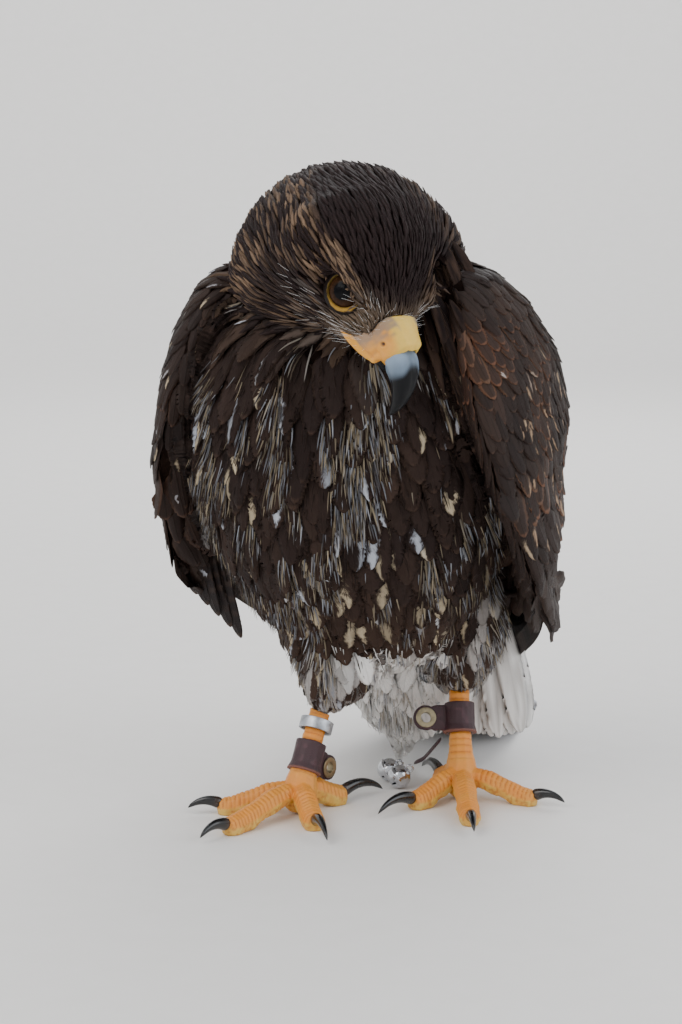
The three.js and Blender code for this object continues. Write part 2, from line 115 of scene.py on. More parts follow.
TAIL_STATIONS = (
    (0, 10, 114, 22, 6),
    (0, -5, 90, 30, 5),
    (0, -21, 60, 35, 4.2),
    (0, -40, 32, 37, 3.4),
    (0, -66, 10, 38, 2.8),
    (0, -104, 2.4, 38, 2.4),
    (0, -152, 1.8, 39, 2.2),
    (0, -172, 1.7, 34, 2.1),
)
WING_STATIONS = (
    (52, 24, 256, 9, 14),
    (66, 18, 240, 15, 28),
    (78, 10, 216, 17, 40),
    (86, 2, 188, 16, 48),
    (87, -12, 156, 14, 50),
    (79, -34, 126, 12, 46),
    (61, -64, 100, 10, 39),
    (45, -91, 77, 8, 32),
    (32, -110, 54, 6, 25),
    (23, -131, 35, 4.5, 18),
    (16, -160, 20, 3.2, 12),
    (12, -190, 13.5, 2.2, 7),
)
WING_SIDES = (
    (0.7, 0.3, 0.65),
    (0.85, 0.2, 0.5),
    (0.95, 0.15, 0.3),
    (1, 0.05, 0.12),
    (1, -0.15, 0.08),
    (0.9, -0.4, 0.1),
    (0.7, -0.65, 0.25),
    (0.5, -0.75, 0.4),
    (0.35, -0.7, 0.6),
    (0.25, -0.5, 0.8),
    (0.15, -0.25, 0.95),
    (0.1, -0.15, 1),
)
WINGS = {
    "left": {"out": -1, "width": 1.01, "lift": 10},
    "right": {"out": 1, "width": 0.93, "lift": 6},
}

# The plumage of each region of the skin, in millimetres.

FLESH = (
    "head",
    "neck",
    "trunk",
    "thigh_right",
    "thigh_left",
    "undertail",
    "wing_right",
    "wing_left",
)
PLUMAGE = {
    "head": {"spacing": 2.3, "length": 9.5, "half": 1.1, "lift": 1.3, "depth": 1.3},
    "neck": {"spacing": 4.4, "length": 21, "half": 3.4, "lift": 3.0, "depth": 2.8},
    "trunk": {"spacing": 6.8, "length": 31, "half": 7.0, "lift": 3.8, "depth": 3.8},
    "thigh": {"spacing": 5.4, "length": 23, "half": 5.0, "lift": 3.4, "depth": 3.4},
    "undertail": {"spacing": 5.6, "length": 32, "half": 4.6, "lift": 3.0, "depth": 3.0},
    "wing": {"spacing": 6.1, "length": 27, "half": 6.2, "lift": 2.5, "depth": 2.8},
}

STRANDS = {"spacing": 4.2, "closer": 3.0, "half": 0.36}
HOOD = {"spacing": 2.7, "length": 14, "half": 1.5, "lift": 2.0}

made = {}


def from_srgb(red, green, blue):
    """A linear colour from the 0 to 255 steps of a screen."""
    steps = [value / 255 for value in (red, green, blue)]
    return tuple(s / 12.92 if s <= 0.04045 else ((s + 0.055) / 1.055) ** 2.4 for s in steps)


def ease(low, high, value):
    """0 at low and before it, 1 at high and beyond, with a smooth change between them."""
    share = np.clip((np.asarray(value, float) - low) / (high - low), 0, 1)
    return share * share * (3 - 2 * share)


def unit(vectors):
    """The vectors of an array, each brought to length one."""
    return vectors / np.maximum(np.linalg.norm(vectors, axis=-1, keepdims=True), 1e-12)


def beside(vectors, normals):
    """The part of each vector that lies along the surface."""
    return vectors - normals * np.sum(vectors * normals, axis=-1, keepdims=True)


def into(matrix, points):
    """Points in metres of the part's frame, as millimetres in another frame."""
    back = np.array(matrix.inverted())
    return (points @ back[:3, :3].T + back[:3, 3]) / MM


def outof(matrix, points):
    """Points in millimetres of a frame, as metres in the part's frame."""
    forth = np.array(matrix)
    return (np.asarray(points, float) * MM) @ forth[:3, :3].T + forth[:3, 3]


# Smooth noise for shapes and markings


def lattice(cells, seed):
    """A repeatable value from 0 to 1 for each cell of an endless grid."""
    mixed = cells[..., 0] * 374761393 + cells[..., 1] * 668265263 + cells[..., 2] * 2147483647
    mixed = (mixed + seed * 1442695041) & 0x7FFFFFFF
    mixed = ((mixed ^ (mixed >> 13)) * 1274126177) & 0x7FFFFFFF
    return ((mixed ^ (mixed >> 16)) & 0xFFFFF) / 0xFFFFF


def noise(points, scale, seed=0):
    """Smooth noise from 0 to 1 at points, with cells of the given size."""
    scaled = np.asarray(points, float) / scale
    base = np.floor(scaled).astype(np.int64)
    rest = scaled - base
    rest = rest * rest * (3 - 2 * rest)
    total = np.zeros(scaled.shape[:-1])
    for corner in range(8):
        step = np.array([(corner >> bit) & 1 for bit in range(3)])
        weight = np.prod(np.where(step, rest, 1 - rest), axis=-1)
        total += weight * lattice(base + step, seed)
    return total


# Paths and lofts


def path_points(stations, shares):
    """Points on the smooth curve through the stations, at shares of its run from 0 to 1."""
    stations = np.asarray(stations, float)
    count = len(stations)
    before = 2 * stations[0] - stations[1]
    after = 2 * stations[-1] - stations[-2]
    padded = np.vstack([before, stations, after])
    run = np.clip(np.asarray(shares, float), 0, 1) * (count - 1)
    first = np.minimum(run.astype(int), count - 2)
    part = (run - first)[..., None]
    a, b, c, d = (padded[first + step] for step in range(4))
    return 0.5 * (
        2 * b + (c - a) * part + (2 * a - 5 * b + 4 * c - d) * part**2 + (3 * b - a - 3 * c + d) * part**3
    )


def path_tangents(stations, shares):
    """Unit directions of the smooth curve at shares of its run."""
    step = 1e-3
    ahead = path_points(stations, np.asarray(shares) + step)
    behind = path_points(stations, np.asarray(shares) - step)
    return unit(ahead - behind)


def loft(stations, around, along, side=(1, 0, 0), ends=8, bulge=None):
    """Points and faces of a closed tube of changing oval section, in millimetres."""
    stations = np.asarray(stations, float)
    polar = np.linspace(0, math.pi, along + 1)[1:-1]
    shares = (1 - np.cos(polar)) / 2
    centres = path_points(stations[:, :3], shares)
    tangents = path_tangents(stations[:, :3], shares)
    sizes = path_points(stations[:, 3:], shares)
    across = np.asarray(side, float) - tangents * (tangents @ np.asarray(side, float))[:, None]
    across = unit(across)
    upward = np.cross(tangents, across)
    end = 2 * shares - 1
    cap = np.sqrt(np.maximum(0, 1 - np.abs(end) ** ends))
    angles = np.arange(around) * 2 * math.pi / around
    swell = np.ones((len(shares), around))
    if bulge:
        swell = bulge(shares[:, None], angles[None, :])
    ring = (
        centres[:, None]
        + across[:, None] * (np.cos(angles)[None, :] * swell * (sizes[:, :1] * cap[:, None]))[..., None]
        + upward[:, None] * (np.sin(angles)[None, :] * swell * (sizes[:, 1:] * cap[:, None]))[..., None]
    )
    tips = path_points(stations[:, :3], [0, 1])
    points = np.vstack([ring.reshape(-1, 3), tips])
    rows = len(shares)
    index = np.arange(rows * around).reshape(rows, around)
    turned = np.roll(index, -1, axis=1)
    foot, top = rows * around, rows * around + 1
    starts = np.stack([np.full(around, foot), turned[0], index[0]], axis=-1)
    finals = np.stack([np.full(around, top), index[-1], turned[-1]], axis=-1)
    return points, [tube_faces(rows, around)[:-around], starts, finals]


def tube_faces(rows, around):
    """The faces between rows of points, each row a closed ring, and the last row next to the first."""
    index = np.arange(rows * around).reshape(rows, around)
    below = np.roll(index, -1, axis=0)
    corners = [index, np.roll(index, -1, axis=1), np.roll(below, -1, axis=1), below]
    return np.stack(corners, axis=-1).reshape(-1, 4)


def turned_points(radius, height, around):
    """Points turned about the Z axis, row by row."""
    angles = np.arange(around) * 2 * math.pi / around
    reach = np.asarray(radius, float)[:, None]
    level = np.repeat(np.asarray(height, float)[:, None], around, axis=1)
    return np.stack([reach * np.cos(angles), reach * np.sin(angles), level], axis=-1).reshape(-1, 3)


def lathe(profile, around, matrix):
    """Points and faces of a closed ring or solid turned about the Z axis of a matrix."""
    radius, height = np.asarray(profile, float).T
    points = outof(matrix, turned_points(radius, height, around))
    return points, [tube_faces(len(profile), around)]


# Meshes and pieces


def mesh_of(name, points, faces):
    """A smooth-shaded mesh from an array of points and a list of arrays of faces."""
    mesh = bpy.data.meshes.new(name)
    corners = np.concatenate([f.ravel() for f in faces]).astype(np.int32)
    counts = np.concatenate([np.full(len(f), f.shape[1]) for f in faces])
    starts = (np.cumsum(counts) - counts).astype(np.int32)
    mesh.vertices.add(len(points))
    write(mesh.vertices, "co", points)
    mesh.loops.add(len(corners))
    mesh.loops.foreach_set("vertex_index", corners)
    mesh.polygons.add(len(counts))
    mesh.polygons.foreach_set("loop_start", starts)
    mesh.update(calc_edges=True)
    mesh.shade_smooth()
    return mesh


def read(items, field, width=1, kind=np.float32):
    """One field of all items of a mesh as an array, with a row for each where it has a width."""
    flat = np.empty(len(items) * width, kind)
    items.foreach_get(field, flat)
    return flat.reshape(-1, width) if width > 1 else flat


def write(items, field, values):
    """Stores an array in one field of all items of a mesh."""
    items.foreach_set(field, np.ascontiguousarray(values, np.float32).ravel())


def solid_of(name, points, faces):
    """A mesh of closed shells with their faces turned outwards."""
    mesh = mesh_of(name, points, faces)
    shell = bmesh.new()
    shell.from_mesh(mesh)
    bmesh.ops.recalc_face_normals(shell, faces=shell.faces)
    shell.to_mesh(mesh)
    shell.free()
    return mesh


def points_of(mesh):
    """The points of a mesh as an array."""
    return read(mesh.vertices, "co", 3).astype(float)


def normals_of(mesh):
    """The vertex normals of a mesh as an array."""
    return read(mesh.vertex_normals, "vector", 3).astype(float)


def corners_of(mesh):
    """The vertex of each face corner of a mesh."""
    return read(mesh.loops, "vertex_index", kind=np.int32)


def move_points(mesh, points):
    """Puts a mesh's points at new places."""
    write(mesh.vertices, "co", points)
    mesh.update()


def paint(mesh, name, values):
    """Stores one value, vector or colour for each point of a mesh."""
    if values.ndim == 1:
        write(mesh.attributes.new(name, "FLOAT", "POINT").data, "value", values)
        return
    if values.shape[1] == 3:
        values = np.hstack([values, np.ones((len(values), 1))])
    write(mesh.color_attributes.new(name, "FLOAT_COLOR", "POINT").data, "color", values)


def add_map(mesh, name, by_point):
    """Adds a UV map with one place for each point of a mesh."""
    write(mesh.uv_layers.new(name=name).uv, "vector", by_point[corners_of(mesh)])


def linked(name, data):
    """A new object in the scene."""
    thing = bpy.data.objects.new(name, data)
    bpy.context.scene.collection.objects.link(thing)
    return thing


def settled(holder):
    """The plain mesh that an object's modifiers give, in place of the object and its own mesh."""
    bpy.context.view_layer.update()
    shown = holder.evaluated_get(bpy.context.evaluated_depsgraph_get())
    rebuilt = bpy.data.meshes.new_from_object(shown)
    before = holder.data
    bpy.data.objects.remove(holder)
    bpy.data.meshes.remove(before)
    return rebuilt


def add_piece(name, mesh, material, nodes=()):
    """Shows a mesh as a piece of the bird that rides on its body."""
    piece = linked(name, mesh)
    mesh.materials.clear()
    mesh.materials.append(material)
    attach(piece, BODY_NAME)
    if nodes:
        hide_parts(*nodes)
    return piece


def merged(nodes, grow, extras=()):
    """One mesh of CAD nodes with their triangles joined, each swollen a little, and of extra meshes."""
    whole = bmesh.new()
    for extra in extras:
        whole.from_mesh(extra)
        bpy.data.meshes.remove(extra)
    for name in nodes:
        part = bmesh.new()
        part.from_mesh(bpy.data.meshes[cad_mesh(name)])
        bmesh.ops.remove_doubles(part, verts=part.verts, dist=1e-5)
        part.normal_update()
        shifts = [vertex.normal * grow for vertex in part.verts]
        for vertex, shift in zip(part.verts, shifts):
            vertex.co += shift
        scratch = bpy.data.meshes.new("scratch")
        part.to_mesh(scratch)
        whole.from_mesh(scratch)
        part.free()
        bpy.data.meshes.remove(scratch)
    mesh = bpy.data.meshes.new("merged")
    whole.to_mesh(mesh)
    whole.free()
    return mesh


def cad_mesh(name):
    """The name of the mesh that a CAD node's object holds."""
    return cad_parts[name].data.name


def remeshed(mesh, voxel):
    """The mesh rebuilt as one closed skin of even squares."""
    holder = linked("scratch", mesh)
    modifier = holder.modifiers.new("voxels", "REMESH")
    modifier.mode = "VOXEL"
    modifier.voxel_size = voxel
    rebuilt = settled(holder)
    rebuilt.shade_smooth()
    return rebuilt


class Web:
    """The edges of a mesh, for spreading values from point to neighbouring point."""

    def __init__(self, mesh):
        first, second = read(mesh.edges, "vertices", 2, np.int32).T
        self.count = len(mesh.vertices)
        self.start = np.concatenate([first, second])
        self.end = np.concatenate([second, first])
        self.degree = np.maximum(np.bincount(self.start, minlength=self.count), 1)

    def mean(self, values):
        """The mean of each point's neighbours."""
        columns = [
            np.bincount(self.start, weights=values[self.end, column], minlength=self.count)
            for column in range(values.shape[1])
        ]
        return np.stack(columns, axis=1) / self.degree[:, None]

    def spread(self, values, rounds, share=0.5):
        """Values brought towards their neighbours' mean, several times."""
        for _ in range(rounds):
            values = values + share * (self.mean(values) - values)
        return values


def relaxed(web, points, rounds):
    """Points smoothed without shrinking the shape."""
    for _ in range(rounds):
        points = points + 0.5 * (web.mean(points) - points)
        points = points - 0.52 * (web.mean(points) - points)
    return points


# Node trees


def node(tree, kind, settings=None, **values):
    """A node with its settings and the values of its inputs."""
    made_node = tree.nodes.new(kind)
    for key, value in (settings or {}).items():
        setattr(made_node, key, value)
    for key, value in values.items():
        fill(tree, made_node, key, value)
    return made_node


def fill(tree, made_node, key, value):
    """Links a socket to an input, or sets the input's own value."""
    if key.startswith("in_"):
        socket = made_node.inputs[int(key[3:])]
    else:
        socket = made_node.inputs[key.replace("_", " ")]
    if isinstance(value, bpy.types.NodeSocket):
        tree.links.new(value, socket)
    elif socket.type == "RGBA" and len(value) == 3:
        socket.default_value = (*value, 1)
    else:
        socket.default_value = value


def sums(tree, operation, first, second=None, third=None, clamp=False):
    """The output of a Math node."""
    values = {"in_0": first}
    if second is not None:
        values["in_1"] = second
    if third is not None:
        values["in_2"] = third
    settings = {"operation": operation, "use_clamp": clamp}
    return node(tree, "ShaderNodeMath", settings, **values).outputs[0]


def ranged(tree, value, low, high, to_low=0.0, to_high=1.0):
    """A value carried smoothly from one range to another."""
    mapped = node(tree, "ShaderNodeMapRange", {"interpolation_type": "SMOOTHSTEP"})
    for key, item in zip(range(5), (value, low, high, to_low, to_high)):
        fill(tree, mapped, f"in_{key}", item)
    return mapped.outputs[0]


def blended(tree, share, first, second, mode="MIX"):
    """Two colours mixed by a share."""
    mix = node(tree, "ShaderNodeMix", {"data_type": "RGBA", "blend_type": mode})
    fill(tree, mix, "in_0", share)
    fill(tree, mix, "in_6", first)
    fill(tree, mix, "in_7", second)
    return mix.outputs[2]


def noisy(tree, vector, scale, detail=3.0, roughness=0.55):
    """The value of a noise texture."""
    texture = node(tree, "ShaderNodeTexNoise", Vector=vector, Scale=scale, Detail=detail)
    texture.inputs["Roughness"].default_value = roughness
    return texture.outputs[0]


def stretched(tree, vector, scale):
    """A vector scaled along its axes by a Mapping node."""
    return node(tree, "ShaderNodeMapping", Vector=vector, Scale=scale).outputs[0]


def places(tree):
    """The Object coordinates of a material."""
    return node(tree, "ShaderNodeTexCoord").outputs["Object"]


def painted(tree, name):
    """The colour that a mesh stores under a name."""
    return node(tree, "ShaderNodeVertexColor", {"layer_name": name}).outputs["Color"]


def toned(tree, colour, tone):
    """A colour made lighter or darker."""
    return node(tree, "ShaderNodeVectorMath", {"operation": "SCALE"}, in_0=colour, Scale=tone).outputs[0]


def new_material(name):
    """A material's tree and its Principled shader."""
    material = bpy.data.materials.new(name)
    material.use_nodes = True
    return material, material.node_tree, material.node_tree.nodes["Principled BSDF"]


def finish(material, **values):
    """Sets values or links of a material's Principled shader."""
    for key, value in values.items():
        fill(material.node_tree, material.node_tree.nodes["Principled BSDF"], key, value)


def bump(tree, shader, height, strength, distance):
    """Feeds the shader's normal from a height."""
    relief = node(tree, "ShaderNodeBump", Height=height, Strength=strength, Distance=distance)
    tree.links.new(relief.outputs[0], shader.inputs["Normal"])


def group_of(name, inputs, outputs):
    """A new shader group with its sockets, and its input and output nodes."""
    group = bpy.data.node_groups.new(name, "ShaderNodeTree")
    for label, kind, value in inputs:
        socket = group.interface.new_socket(label, in_out="INPUT", socket_type=kind)
        if value is not None:
            socket.default_value = value
    for label, kind in outputs:
        group.interface.new_socket(label, in_out="OUTPUT", socket_type=kind)
    return group, group.nodes.new("NodeGroupInput"), group.nodes.new("NodeGroupOutput")


FLOAT = "NodeSocketFloat"
COLOUR = "NodeSocketColor"


def use_group(tree, group, **values):
    """A group placed in a material with its own values."""
    placed_group = tree.nodes.new("ShaderNodeGroup")
    placed_group.node_tree = group
    for key, value in values.items():
        fill(tree, placed_group, key, value)
    return placed_group


def vane_group():
    """Colour and relief of a vane: barbs that sweep from the shaft, a mark, and a worn rim."""
    name = "feather vane"
    if name in bpy.data.node_groups:
        return bpy.data.node_groups[name]
    inputs = [
        ("Barbs", FLOAT, 26.0),
        ("Sweep", FLOAT, 0.35),
        ("Contrast", FLOAT, 0.35),
        ("Shaft", FLOAT, 0.5),
        ("Breadth", FLOAT, 1.1),
    ]
    group, given, result = group_of(name, inputs, [("Color", COLOUR), ("Height", FLOAT)])
    reckon = partial(sums, group)
    given = given.outputs
    uv = node(group, "ShaderNodeUVMap", {"uv_map": VANE_MAP}).outputs[0]
    split = node(group, "ShaderNodeSeparateXYZ", Vector=uv)
    across = reckon("MULTIPLY_ADD", split.outputs[0], 2.0, -1.0)
    along = split.outputs[1]
    out = reckon("ABSOLUTE", across)
    luck = node(group, "ShaderNodeAttribute", {"attribute_name": "luck"}).outputs["Fac"]

    # Barbs that sweep outward from the shaft, told apart from vane to vane and side to side.
    barb = reckon("SUBTRACT", along, reckon("MULTIPLY", out, given["Sweep"]))
    lined = reckon("MULTIPLY", barb, given["Barbs"])
    side = reckon("MULTIPLY_ADD", reckon("SIGN", across), 3.0, luck)
    low = reckon("MULTIPLY", out, 1.2)
    seat = node(group, "ShaderNodeCombineXYZ", X=lined, Y=low, Z=reckon("MULTIPLY", side, 31.0))
    fine = noisy(group, seat.outputs[0], 1.6, 4.0, 0.7)
    coarse = noisy(group, seat.outputs[0], 0.45, 2.0)
    streak = reckon("MULTIPLY_ADD", fine, 0.6, reckon("MULTIPLY", coarse, 0.4))

    # The mark: a ragged blot at its own place and of its own size.
    place = node(group, "ShaderNodeAttribute", {"attribute_name": "mark_at"})
    mark = node(group, "ShaderNodeSeparateXYZ", Vector=place.outputs["Vector"])
    size = reckon("MAXIMUM", mark.outputs[2], 0.001)
    reach_along = reckon("DIVIDE", reckon("SUBTRACT", along, mark.outputs[0]), size)
    breadth = reckon("MULTIPLY", size, given["Breadth"])
    reach_across = reckon("DIVIDE", reckon("SUBTRACT", across, mark.outputs[1]), breadth)
    squares = [reckon("POWER", reckon("ABSOLUTE", reach), 2.0) for reach in (reach_along, reach_across)]
    near = reckon("SQRT", reckon("ADD", *squares))
    seat = node(group, "ShaderNodeCombineXYZ", X=along, Y=across, Z=reckon("MULTIPLY", luck, 17.0))
    blot = noisy(group, stretched(group, seat.outputs[0], (7.0, 1.3, 1.0)), 1.0, 2.0)
    warped = reckon("MULTIPLY_ADD", reckon("SUBTRACT", blot, 0.5), 2.6, near)
    contrast = reckon("SUBTRACT", streak, 0.5)
    inside = ranged(group, reckon("MULTIPLY_ADD", contrast, 3.4, warped), 1.35, 0.45)
    shown = reckon("MULTIPLY", inside, ranged(group, mark.outputs[2], 0.02, 0.06))

    # The worn rim, the quill down the middle and the tone of the barbs.
    tip = reckon("MAXIMUM", out, ranged(group, along, 0.78, 1.0))
    rim = node(group, "ShaderNodeAttribute", {"attribute_name": "rim"}).outputs
    start = reckon("MULTIPLY_ADD", rim["Alpha"], -0.5, 1.22)
    end = reckon("ADD", start, 0.32)
    worn = ranged(group, reckon("MULTIPLY_ADD", streak, 0.5, tip), start, end)
    worn = reckon("MULTIPLY", worn, rim["Alpha"])
    colour = blended(group, worn, painted(group, "ground"), rim["Color"])
    colour = blended(group, shown, colour, painted(group, "mark"))
    quill = reckon("MULTIPLY", ranged(group, out, 0.1, 0.02), given["Shaft"])
    dark = reckon("SUBTRACT", 1.0, reckon("MULTIPLY", quill, 0.55))
    tone = reckon("MULTIPLY", reckon("MULTIPLY_ADD", contrast, given["Contrast"], 1.0), dark)
    fill(group, result, "Color", toned(group, colour, tone))
    fill(group, result, "Height", reckon("MULTIPLY_ADD", quill, 0.8, streak))
    return group


def feather_material(name, barbs, contrast, shaft, roughness, relief, gloss=0.1):
    """The finish of one kind of feather."""
    material, tree, shader = new_material(name)
    vane = use_group(tree, vane_group(), Barbs=barbs, Contrast=contrast, Shaft=shaft)
    bump(tree, shader, vane.outputs["Height"], relief, 0.0006)
    finish(material, Base_Color=vane.outputs["Color"], Roughness=roughness, Specular_IOR_Level=gloss)
    return material


def skin_material():
    """The skin under the coat, in the coat's own markings."""
    material, tree, shader = new_material("skin")
    where = places(tree)
    down = noisy(tree, stretched(tree, where, (900, 900, 300)), 1.0, 4.0, 0.7)
    tone = sums(tree, "MULTIPLY_ADD", down, 0.9, 0.25)
    shade = toned(tree, painted(tree, "ground"), tone)
    bump(tree, shader, down, 0.6, 0.0008)
    finish(material, Base_Color=shade, Roughness=0.85, Specular_IOR_Level=0.0)
    return material


# Markings: what colour the plumage has at a place


def colours():
    """The colours that the user may change, as arrays."""
    shades = bpy.context.scene.hawk_colours
    names = HawkColours.__annotations__
    return SimpleNamespace(**{name: np.array(getattr(shades, name)) for name in names})


def mixed(first, second, share):
    """Two colours or arrays of colours, mixed by an array of shares."""
    share = np.asarray(share)[..., None]
    return np.asarray(first) * (1 - share) + np.asarray(second) * share


BROW = ((24.4, -2, 16), (24.4, 8, 16.4), (22, 17.5, 14.4), (16.5, 25, 11))


def brow_gap(inner):
    """Distance in millimetres of places in the head's frame from the nearer brow."""
    line = path_points(BROW, np.linspace(0, 1, 24))
    places_here = np.abs(inner) * (1, 0, 0) + inner * (0, 1, 1)
    return np.linalg.norm(places_here[:, None] - line[None], axis=-1).min(axis=1)


def clumps(spot):
    """How far each place lies inside one of the long pale clumps of the breast."""
    return ease(0.55, 0.68, noise(spot * (1, 1, 0.34), 6.5, 21) + 0.3 * (noise(spot, 24, 9) - 0.5))


def markings(points, normals, regions, seed):
    """Ground, mark and rim colours and the mark's place on the vane, for feathers rooted at points."""
    shades = colours()
    draw = np.random.default_rng(seed)
    count = len(points)
    spot = into(WORLD, points)
    inner = into(HEAD, points)
    x, y, z = spot.T
    front = ease(-0.15, 0.45, -normals[:, 1])
    luck = draw.random((count, 6))
    drift = noise(spot, 16, 3)
    head, neck, trunk, under = (part_of(regions, name) for name in ("head", "neck", "trunk", "undertail"))
    right_wing, left_wing = (part_of(regions, name) for name in WING_NAMES)
    thigh = part_of(regions, *THIGH_NAMES)
    wing = right_wing + left_wing

    ground = mixed(shades.dark, shades.brown, 0.55 * luck[:, 0] * drift + 0.12)
    rim = np.tile(shades.brown, (count, 1))
    rim_share = 0.35 + 0.3 * luck[:, 1]
    mark = mixed(shades.cream, shades.white, ease(0.35, 0.75, luck[:, 2] + 0.25 * (drift - 0.5)))
    mark = mark * (0.4 + 0.5 * draw.random(count) ** 0.7)[:, None]
    mark_at = np.zeros((count, 3))
    mark_at[:, 0] = 0.7 + 0.28 * luck[:, 3]
    mark_at[:, 1] = (luck[:, 4] - 0.5) * 1.7
    size = np.zeros(count)

    # Breast and belly: pale streaks on dark, more of them and browner low down.
    low = ease(140, 100, z)
    streaks = front * (trunk + 0.6 * neck * ease(232, 205, z))
    chance = streaks * (0.08 + 0.24 * low + 0.6 * clumps(spot))
    size = np.where(luck[:, 5] < chance, 0.2 + 0.24 * draw.random(count), size)
    ground = mixed(ground, shades.brown, 0.45 * low * front * trunk)
    rim = mixed(rim, shades.tawny, 0.25 * low * front)

    # Thighs: brown with pale edges, paler near the hem.
    hem = ease(96, 64, z)
    ground = mixed(ground, shades.brown, 0.5 * thigh)
    pale = mixed(shades.cream, shades.white, np.full(count, 0.6))
    rim = mixed(rim, pale, thigh * (0.35 + 0.5 * hem))
    rim_share = rim_share + thigh * 0.1
    ground = mixed(ground, pale, thigh * ease(0.62, 0.8, luck[:, 0] + 0.2 * hem) * 0.7)
    size = np.where(thigh > 0.5, np.where(luck[:, 5] < 0.55, 0.2 + 0.18 * luck[:, 3], 0), size)

    # Vent and the feathers under the tail: white with a little grey.
    tail_point = into(TAIL, points)
    belly = trunk * ease(100, 84, z) * ease(-40, -10, tail_point[:, 1])
    vent = ease(0.3, 0.7, under + belly)
    soft = mixed(shades.snow, shades.grey, 0.22 * luck[:, 0] ** 2)
    ground = mixed(ground, soft, vent)
    rim = mixed(rim, shades.snow, vent)
    size = np.where(vent > 0.5, 0, size)

    # Back and scapulars: dark with worn brown rims.
    back = (trunk + neck) * (1 - front) * (1 - vent)
    ground = mixed(ground, shades.dark, 0.55 * back)
    rim = mixed(rim, shades.tawny, 0.35 * back)

    # Wing: chestnut rims and centres on the lesser coverts, dark greater coverts with thin rims.
    shoulder = ease(118, 158, z) * ease(268, 232, z) * (1 - 0.55 * right_wing)
    patch = ease(0.42, 0.72, drift)
    rust = mixed(shades.chestnut, shades.tawny, 0.8 * luck[:, 1])
    ground = mixed(ground, rust, wing * shoulder * patch * 0.14 * luck[:, 2])
    rim = mixed(rim, rust, np.clip(wing * shoulder * (0.35 + 0.75 * patch), 0, 1))
    rim_share = np.where(wing > 0.5, 0.3 + 0.25 * luck[:, 1] + 0.5 * shoulder * patch, rim_share)
    outer = left_wing * ease(0.2, 0.7, normals[:, 0])
    outer = outer * ease(140, 165, z) * ease(240, 215, z)
    spots = wing * front * 0.25 * right_wing + 0.36 * outer
    size = np.where(wing > 0.5, np.where(luck[:, 5] < spots, 0.14 + 0.14 * luck[:, 3], 0), size)
    mark = mixed(mark, shades.buff, wing * np.maximum(0.6 * shoulder, outer))

    # Head and nape: near-black crown, buff eyebrow and nape streaks, grizzled face.
    ahead, up = inner[:, 1], inner[:, 2]
    hood = np.clip(head + neck * ease(150, 95, near_bill(points)), 0, 1)
    ground = mixed(ground, mixed(shades.crown, shades.dark, 0.5 * luck[:, 0]), hood)
    rim = mixed(rim, shades.brown, hood)
    rim_share = rim_share * (1 - hood) + hood * 0.3
    edge = np.interp(z, (236, 252, 278, 294, 312), (18, 9, -7, -12, -4))
    band = hood * ease(3, -6, x - edge) * ease(226, 240, z)
    near_eye = ease(26, 10, edge - x)
    ear = ease(13, 5, np.hypot((x + 21) / 1.3, z - 254))
    back_of_head = ease(-60, -25, y)
    strength = (0.5 + 0.35 * near_eye) * (1 - 0.8 * ear) * (1 - 0.5 * back_of_head)
    flank = hood * ease(-28, -36, x) * ease(292, 280, z) * ease(236, 246, z)
    nape = hood * back_of_head * ease(312, 296, z) * 0.4
    streaked = np.clip(np.maximum.reduce([band * strength, 0.85 * flank, nape]), 0, 1)
    lit = ease(0.62, 0.86, luck[:, 1] * 0.75 + 0.5 * noise(spot, 7, 5))
    brow = head * ease(5.5, 2.5, brow_gap(inner))
    lit = np.maximum(lit, ease(0.1, 0.5, brow * luck[:, 1]))
    streaked = np.maximum(streaked, brow * np.where(inner[:, 0] > 0, 0.7, 0.3))
    tan = mixed(shades.buff, shades.tawny, 0.6 * luck[:, 3])
    ground = mixed(ground, tan, streaked * lit * 0.85)
    rim = mixed(rim, shades.tawny, 0.8 * streaked)
    rim_share = np.clip(rim_share + 0.35 * streaked, 0, 1)
    face = head * ease(2, -6, up) * ease(-10, 8, ahead)
    lores = head * ease(12, 22, ahead) * ease(17, 6, up)
    grizzle = np.clip(face * 0.75 + lores, 0, 1)
    ground = mixed(ground, shades.grey, grizzle * ease(0.5, 0.9, luck[:, 2]) * 0.6)
    bare = mixed(shades.lip, shades.grey, 0.85) * 0.5
    ground = mixed(ground, bare, 0.8 * lores)
    rim = mixed(rim, bare, lores)
    size = np.where(hood > 0.6, 0, size)

    # Neck sides and throat: dark with long buff or pale streaks.
    collar = np.clip(neck * (1 - hood), 0, 1)
    size = np.where(
        (collar > 0.5) & (luck[:, 5] < 0.34 * (0.35 + front)),
        0.16 + 0.16 * luck[:, 3],
        size,
    )
    mark = mixed(mark, shades.buff, collar * ease(238, 262, z) * 0.8)

    mark_at[:, 2] = size
    tone = 0.82 + 0.36 * draw.random(count)
    ground = ground * (tone + (1 - tone) * vent)[:, None]
    return {
        "ground": ground,
        "mark": mark,
        "rim": np.hstack([rim, np.clip(rim_share, 0, 1)[:, None]]),
        "mark_at": mark_at,
        "luck": luck[:, 0] * 7 + luck[:, 3],
    }


# The skin


def wing_path(side):
    """Stations and facing directions of a folded wing, in the body's frame."""
    out, width, lift = (WINGS[side][key] for key in ("out", "width", "lift"))
    stations = []
    for x, y, z, w, h in WING_STATIONS:
        drift = 0.2 * max(0, -50 - y)
        raised = z + lift * max(0, (z - 100) / 160)
        stations.append((out * width * x + drift, y, raised, w, h))
    facing = [(out * x, y, z) for x, y, z in WING_SIDES]
    return np.array(stations), np.array(facing)


